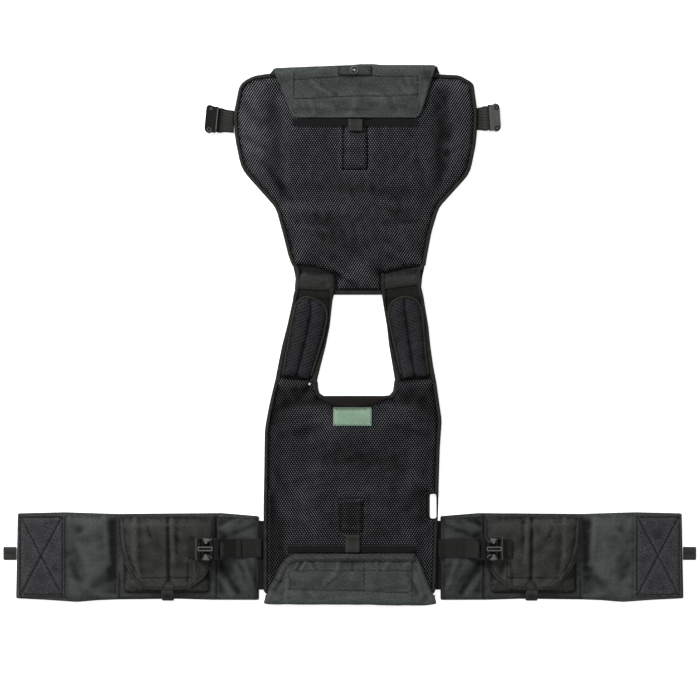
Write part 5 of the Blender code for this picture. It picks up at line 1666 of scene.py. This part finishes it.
CHEST_SHELL_HALF = 20.6
EYE_SIDES = 28
EYE_PROFILE = [(0, 0), (0.1, 0.8), (0.6, 1.3), (1.3, 1.3), (1.9, 0.7), (2.1, 0)]


def make_chest_shell(side, world):
    """The top of a chest socket that hides its bar, with a paler lip, and its round ends."""
    start, lip_end, end = CHEST_LIP[side]
    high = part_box("chest_buckle_" + side)[1][2] / MM
    # On the black left socket the grey lip and round ends are painted highlights; the right socket is grey.
    main, trim = (PLASTIC, GREY_AND_HIGHLIGHT_PLASTIC) if side == "left" else (GREY_AND_HIGHLIGHT_PLASTIC, PLASTIC)

    def top(x, y, away):
        return high + 0.06 - 0.3 * (1 - smooth(away / 0.7))

    half = CHEST_SHELL_HALF
    parts = (("lip", start, lip_end, GREY_AND_HIGHLIGHT_PLASTIC), ("shell", lip_end + 0.02, end, main))
    for part, x0, x1, finish in parts:
        loop = facing_up(world([x0, x1, x1, x0], [-half, -half, half, half]))
        loop = resampled(loop, 2.0, closed=True)
        name = f"chest_{side}_{part}"
        made = sheet(name, loop, 2.5, top, level(high - 2.4), finish, rings=(0.5, 1.0))
        dress(made, None)
    turns = np.linspace(0, 2 * math.pi, EYE_SIDES + 1)[:-1]
    for k, (x, y, radius) in enumerate(CHEST_EYES[side]):
        line = np.column_stack([x + radius * np.cos(turns), y + radius * np.sin(turns)])
        name = f"chest_{side}_eye_{k}"
        eye = sweep(name, line, EYE_PROFILE, trim, closed=True, height=high - 0.4)
        dress(eye, None)


def make_side_straps(side, sign, seat, wing_top):
    """The fixed webbing of a side socket, and the longer webbing of its plug."""
    bar_low = seat + WEB_T + GAP
    low, high = seat + WEB_T / 2, bar_low + BAR_T + GAP + WEB_T / 2
    doubled = low + WEB_T + GAP + 0.1
    path = [(SIDE_TAB_END, low)] + bar_loop(SIDE_BAR[1], low, high)
    path += [(SIDE_BAR[0] - 0.6, high - 0.1), (SIDE_BAR[0] - 8, doubled), (SIDE_TAB_END, doubled)]

    def place(x, across, z):
        return sign * x, SIDE_Y + across * sign, z

    web(f"side_{side}_tab", "side_tab_" + side, path, SIDE_WEB_W, place, SIDE_WEB)
    for x in (SIDE_TAB_END + 2.5, SIDE_TAB_END + 6.5):
        line = np.array([(sign * x, SIDE_Y - 13), (sign * x, SIDE_Y + 13)])
        sew([line], level(doubled + WEB_T / 2), 2.4, 1.8)
    stations = (SIDE_WEB_START, -166, -178, SIDE_WEB_TAIL, -202)
    lying = [(x, float(wing_top(x)) + GAP + WEB_T / 2) for x in stations]
    path = [(-x, z) for x, z in lying] + bar_loop(-PLUG_BAR[0], low, high)
    step = WEB_T + GAP + 0.15
    path += [(-PLUG_BAR[1] - 0.6, high - 0.1), (200.6, lying[4][1] + step)]
    path.append((-SIDE_WEB_TAIL, lying[3][1] + step))

    def mirrored(away, across, z):
        return place(-away, -across, z)

    web(f"side_{side}_webbing", "side_strap_" + side, path, SIDE_WEB_W, mirrored, SIDE_WEB)


def round_ends(shape, at, low_radius, high_radius):
    """Turn a chest socket's square ends round, each with its own radius."""
    bmesh.ops.triangulate(shape, faces=shape.faces)
    for _ in range(3):
        long = [e for e in shape.edges if e.calc_length() > 2.2 * MM]
        bmesh.ops.subdivide_edges(shape, edges=long, cuts=1)
        bmesh.ops.triangulate(shape, faces=shape.faces)
    x0, y0, degrees, _ = at
    c, s = math.cos(math.radians(degrees)), math.sin(math.radians(degrees))
    start, end, width = CHEST_BUCKLE
    middle, half = (start + end) / 2, (end - start) / 2
    for vert in shape.verts:
        dx, dy = vert.co.x / MM - x0, vert.co.y / MM - y0
        x, across = dx * c + dy * s - middle, dy * c - dx * s
        radius = high_radius if across * c > 0 else low_radius
        over = max(abs(across) - (width / 2 - radius), 0)
        room = half - radius + math.sqrt(max(radius**2 - over**2, 0))
        x = x * (room / half) + middle
        vert.co.x = (x0 + x * c - across * s) * MM
        vert.co.y = (y0 + x * s + across * c) * MM


BEVEL = 0.00045  # metres


def make_buckle(node, name, marked):
    """A moulded buckle half: the CAD solid with its edges rounded, grey where x lies in the marked span."""
    source = frame["nodes"][node]
    mesh = source.data.copy()
    shape = bmesh.new()
    shape.from_mesh(mesh)
    bmesh.ops.remove_doubles(shape, verts=shape.verts, dist=1e-5)
    bmesh.ops.dissolve_limit(shape, angle_limit=math.radians(1), verts=shape.verts, edges=shape.edges)
    if node.startswith("chest"):
        round_ends(shape, *CHEST_ROUND[node.removeprefix("chest_buckle_")])
    edges = [e for e in shape.edges if len(e.link_faces) == 2]
    sharp = [e for e in edges if e.calc_face_angle() > math.radians(32)]
    bmesh.ops.bevel(
        shape, geom=sharp, offset=BEVEL, offset_type="OFFSET", segments=2, profile=0.5, affect="EDGES",
        clamp_overlap=True, loop_slide=True,
    )
    shape.to_mesh(mesh)
    shape.free()
    made = bpy.data.objects.new(name, mesh)
    bpy.context.scene.collection.objects.link(made)
    mesh.materials.clear()
    for finish in (PLASTIC, GREY_AND_HIGHLIGHT_PLASTIC):
        mesh.materials.append(finish)
    # Grey faces: the right chest buckle's own colour, and a painted highlight on the side sockets' end bars.
    for face in mesh.polygons:
        face.material_index = int(marked[0] < abs(face.center.x) / MM < marked[1])
    if not mesh.uv_layers:
        mesh.uv_layers.new(name="cloth")
    mesh.shade_smooth()
    mesh.set_sharp_from_angle(angle=math.radians(50))
    dress(made, node)


# The raised frame on a side socket, painted pale as a highlight: from x to x, and its half width; its section
# is the ridge.
RIB_FROM, RIB_TO, RIB_HALF = -264.6, -238.6, 3.9
RIDGE = [(0, 0), (0.15, 0.7), (0.7, 0.9), (1.3, 0.9), (1.8, 0.6), (1.9, 0)]
# The moulded lines on a side socket, raised and painted grey as highlights: x, y from its middle line.
PRONG_LINES = [
    [(-266.4, -19.8), (-266.4, 19.8)],
    [(-256.5, 18.6), (-251, 16.8), (-246.2, 12.4)], [(-246.2, 12.4), (-242.5, 14.2), (-239.4, 17.0)],
    [(-246.2, -10.6), (-251, -15.0), (-256.5, -16.8)], [(-239.4, -15.4), (-242.5, -12.6), (-246.2, -10.6)],
]
# The heads of the plug's arms, seen in the socket's windows and painted pale as highlights: x, y from the
# same line.
PRONG_HEADS = [
    [(-256, 18.6), (-253.6, 12.5), (-252, 8.6), (-249.2, 8.4), (-246.6, 13), (-243.8, 16.4), (-244.6, 18.8)],
    [
        (-256.4, -19.4), (-244, -19.6), (-244.4, -17.2), (-247.6, -14), (-249.6, -8.8), (-252.4, -8.6),
        (-254, -13),
    ],
]


def make_socket_top(side):
    """A side socket's raised frame, window lines and arms' heads in the windows, all painted highlights."""
    sign = 1 if side == "left" else -1
    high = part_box("side_socket_" + side)[1][2] / MM
    x0, x1 = sorted((sign * RIB_FROM, sign * RIB_TO))
    frame_line = box_loop((x0, SIDE_Y - RIB_HALF, x1, SIDE_Y + RIB_HALF), 1.6)
    lines = [("rib", resampled(frame_line, 1.4, closed=True), HIGHLIGHT_PLASTIC)]

    def placed_line(rows):
        return np.array([(sign * x, SIDE_Y + y) for x, y in rows], float)

    for k, rows in enumerate(PRONG_LINES):
        lines.append((f"prong_{k}", resampled(placed_line(rows), 1.2), GREY_AND_HIGHLIGHT_PLASTIC))
    profile = np.array(RIDGE) + (0, high - 0.15)
    for name, line, finish in lines:
        made = sweep(f"side_socket_{side}_{name}", line, profile, finish, closed=name == "rib")
        dress(made, None)

    def top(x, y, away):
        return high + 0.35 + 0.5 * smooth(away / 1.8)

    for k, rows in enumerate(PRONG_HEADS):
        loop = resampled(facing_up(placed_line(rows)), 1.3, closed=True)
        name = f"side_socket_{side}_head_{k}"
        made = sheet(name, loop, 1.5, top, level(high - 0.25), ARM_PLASTIC, rings=(0.5,))
        dress(made, None)


# Wings and pouches.


WING_SEAMS = [
    [(-496.5, -315), (-496.5, -463)], [(-408, -318), (-409, -458)], [(-403.5, -420), (-404, -460)],
    [(-233.5, -317), (-233.5, -457)], [(-580, -316), (-500, -314.5), (-410, -318), (-163, -322)],
    [(-580, -458), (-478, -463.5), (-410, -460), (-163, -460.5)], [(-163.5, -322), (-163.5, -460)],
]
# The wing's outer part, the part under the pouch, and its inner part: from x to x.
WING_PARTS = ((-620, -402), (-402, -234), (-236, -150))
# How much paler the right wing is painted, as painted light: its cloth, its pile and its pouch's flap.
CLOTH_LEAN = {"left": 0.0, "right": 0.26}
PILE_LEAN = {"left": 0.0, "right": 0.16}
FLAP_LEAN = {"left": 0.0, "right": 0.14}


def make_wing(side, seed):
    """A waist wing with its sewn tongue, its pile end and its tab, drawn for the left side."""
    sign = 1 if side == "left" else -1

    def turned(line):
        line = np.array(line, float)
        return line if side == "left" else (line * (-1, 1))[::-1]

    broad, fine = wander(seed, 60), wander(seed + 1, 20)
    loop = turned(rounded(WING_EDGE))
    seams = [turned(line) for line in WING_SEAMS]

    def top(x, y, away):
        u = sign * x
        along_wing = np.minimum(u - WING_TIP, WING_ROOT - u)
        z = WING_T - 1.4 + 1.4 * ease(away / 22)
        z += folds(u, y, WING_FOLDS) * ease(away / 26) * ease(along_wing / 26)
        z += folds(u, y, WING_CREASES) * smooth(away / 9)
        z += (0.35 * broad(x, y) + 0.12 * fine(x, y)) * smooth(away / 16)
        z += groove(x, y, seams, 0.5, 1.1, 0.14)
        return z * (0.62 + 0.38 * smooth(away / 3.2))

    def low(x, y, away):
        return 0.02 + 0.9 * (1 - smooth(away / 2.4))

    # Painted shade and light from the shade table, darker under the pouch, and the right wing's painted
    # light.
    def shade(x, y):
        u = sign * x
        outer, pouch, inner = (plateau(u, *ends, 4) for ends in WING_PARTS)
        return folds(u, y, WING_SHADES) + 0.35 * pouch - CLOTH_LEAN[side] * (outer - 0.5 * inner)

    name = f"wing_{side}_cloth"
    cloth(name, "wing_" + side, loop, 4.0, top, low, WING, seams, shade, 0.1)
    # The tongue is cut from the dark strap cloth, as painted shade where it runs in under the panel.
    tongue = turned(box_loop(TONGUE))
    made = sheet(f"tongue_{side}_cloth", tongue, 8, level(2.95), level(1.8), STRAP_CLOTH)
    dress(made, None)
    x0, y0, x1, y1 = HOOK_PAD[:4]
    corners = (x0 + 6, y0 + 6, x1 - 6, y1 - 6)
    crossing = [[corners[:2], corners[2:]], [(corners[0], corners[3]), (corners[2], corners[1])]]
    lines = [turned(line) for line in crossing + frame_lines(HOOK_PAD, 3.2)]
    pile = wander(seed + 5, 30)

    def nap(x, y, away):
        return 0.25 * pile(x, y) * smooth(away / 6)

    lay(
        f"hook_{side}_pile", "wing_hook_pad_" + side, turned(box_loop(HOOK_PAD)), HOOK_PAD[4], PILE,
        3.6, lines, nap, seam=(1.5, 1.6, 0.3), shade=level(-PILE_LEAN[side]),
    )
    end = WING_TAB[2] - 5
    lay(
        f"wing_{side}_tab", "wing_tab_" + side, turned(box_loop(WING_TAB)), WING_TAB[4] * 0.85, WEB,
        2.4, [turned([(end, WING_TAB[1] + 2), (end, WING_TAB[3] - 2)])],
        lambda x, y, away: 0.25 * np.cos(y * 0.5), 0, 0.02,
    )
    make_pouch(side, sign, turned, seed)


def pouch_rise(u, y):
    """How far a pouch's wall stands off its wing."""
    sides = ease((u - POUCH[0]) / POUCH_RISE) * ease((POUCH[2] - u) / POUCH_RISE_IN)
    mouth = POUCH_MOUTH + (1 - POUCH_MOUTH) * ease((POUCH[3] - y) / POUCH_RISE)
    return POUCH_HIGH * sides * mouth * ease((y - POUCH[1]) / POUCH_RISE)


WALL_CREASES = [
    (-392, -440, -372, -448, 5, 1.6), (-384, -432, -372, -446, 5, -1.0), (-262, -436, -252, -446, 5, 1.4),
    (-272, -430, -256, -440, 4, -0.9), (-330, -440, -300, -446, 5, 0.7),
]
WALL_SEAMS = [
    [(-393, -449), (-249, -449)], [(-393, -336), (-393, -449)], [(-249, -336), (-249, -449)],
]
POUCH_FLAP_SEAMS = [
    [(-396, -322), (-394, -362), (-384, -398), (-366, -424)], [(-360, -424.5), (-276, -424.5)],
    [(-275, -398), (-275, -438)],
]


def make_pouch(side, sign, turned, seed):
    """The pouch: a domed wall open under its flap, and the flap sewn along the wing's top."""
    drape = ground.draped(2)
    lumps = wander(seed + 7, 32)
    seams = [turned(line) for line in WALL_SEAMS]

    def wall(away):
        return POUCH_T * (0.5 + 0.5 * smooth(away / 1.8))

    def low(x, y, away):
        u = sign * x
        z = drape.at(x, y) + 0.3 + pouch_rise(u, y) + folds(u, y, WALL_CREASES) * smooth(away / 4)
        corner = smooth((y - POUCH[1]) / 10) * smooth((u - POUCH[0]) / 14) * smooth((-424 - y) / 12)
        return z + 1.62 * corner + 0.3 * lumps(x, y) * smooth(away / 9) + groove(x, y, seams, 0.4, 1.2, 0.15)

    def top(x, y, away):
        return low(x, y, away) + wall(away)

    loop = turned(box_loop(POUCH, 9))
    rim = resampled(turned(rounded(POUCH_FLAP)), 4, closed=True)

    # Painted shadow under the flap's edge, painted shade along the wall's edge and all over it, and its
    # table.
    def shadow(x, y):
        near_flap, near_edge = bump(from_line(x, y, rim), 3.5), bump(from_line(x, y, loop), 2.5)
        return 0.2 + 0.6 * near_flap + 0.12 * near_edge + folds(sign * x, y, WALL_SHADES)

    name, node = f"pouch_{side}_wall", "pouch_body_" + side
    cloth(name, node, loop, 3.4, top, low, POUCH_CLOTH, seams, shadow)
    make_pouch_flap(side, sign, turned, lumps)
    x0, _, x1, y1 = POUCH_TAB[:4]
    lay(
        f"pouch_{side}_tab", "pouch_tab_" + side, turned(box_loop(POUCH_TAB)), POUCH_TAB[4] * 0.9, WEB,
        2.2, [turned([(x0 + 2, y1 - 3), (x1 - 2, y1 - 3)])],
        lambda x, y, away: 0.2 * np.cos(x * 0.6),
    )
    seat = float(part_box("side_socket_" + side)[0][2]) / MM
    wing = ground.draped(2)

    def wing_top(u):
        return np.max([wing.at(sign * u, SIDE_Y + v) for v in (-14, 0, 14)])

    make_side_straps(side, sign, seat, wing_top)


def make_pouch_flap(side, sign, turned, lumps):
    """The flap, hemmed round its free edge."""
    rim = resampled(rounded(POUCH_FLAP), 4, closed=True)
    hem = shifted(rim, math.copysign(3.2, turning(rim)), closed=True)
    lines = [turned(hem[hem[:, 1] < -322])] + [turned(line) for line in POUCH_FLAP_SEAMS]

    def relief(x, y, away):
        u = sign * x
        z = folds(u, y, POUCH_CREASES) * smooth(away / 5) + 0.4 * lumps(y, x) * smooth(away / 10)
        return z + 0.8 * bump(u + 316, 9) * plateau(y, -330, -310, 10)

    lay(
        f"pouch_{side}_flap", "pouch_flap_" + side, turned(rounded(POUCH_FLAP)), POUCH_FLAP_T,
        POUCH_CLOTH, 3.0, lines, relief, 3, 0.35, DEEP,
        lambda x, y: folds(sign * x, y, POUCH_SHADES) - FLAP_LEAN[side],
    )


def make_threads():
    """Every stitch so far, as one mesh."""
    points = np.array(threads["points"])
    made = add_mesh("stitching", points, threads["faces"], points[:, :2], THREAD)
    dress(made, None)


make_studio()
make_front_panel()
make_back_panel()
make_flap_hem()
make_shoulder("left", LEFT_STRAP, LEFT_PAD, LEFT_KEEPER, (LEFT_OUTER, LEFT_INNER), 41)
make_shoulder("right", RIGHT_STRAP, RIGHT_PAD, RIGHT_KEEPER, (RIGHT_OUTER, RIGHT_INNER), 51)
make_chest_strap("left", CHEST_LEFT)
make_chest_strap("right", CHEST_RIGHT)
make_wing("left", 61)
make_wing("right", 71)
for hand in ("left", "right"):
    for buckle, marked in GREY_SPANS[hand].items():
        make_buckle(f"{buckle}_{hand}", f"{buckle}_{hand}_moulded", marked)
    make_socket_top(hand)
make_threads()
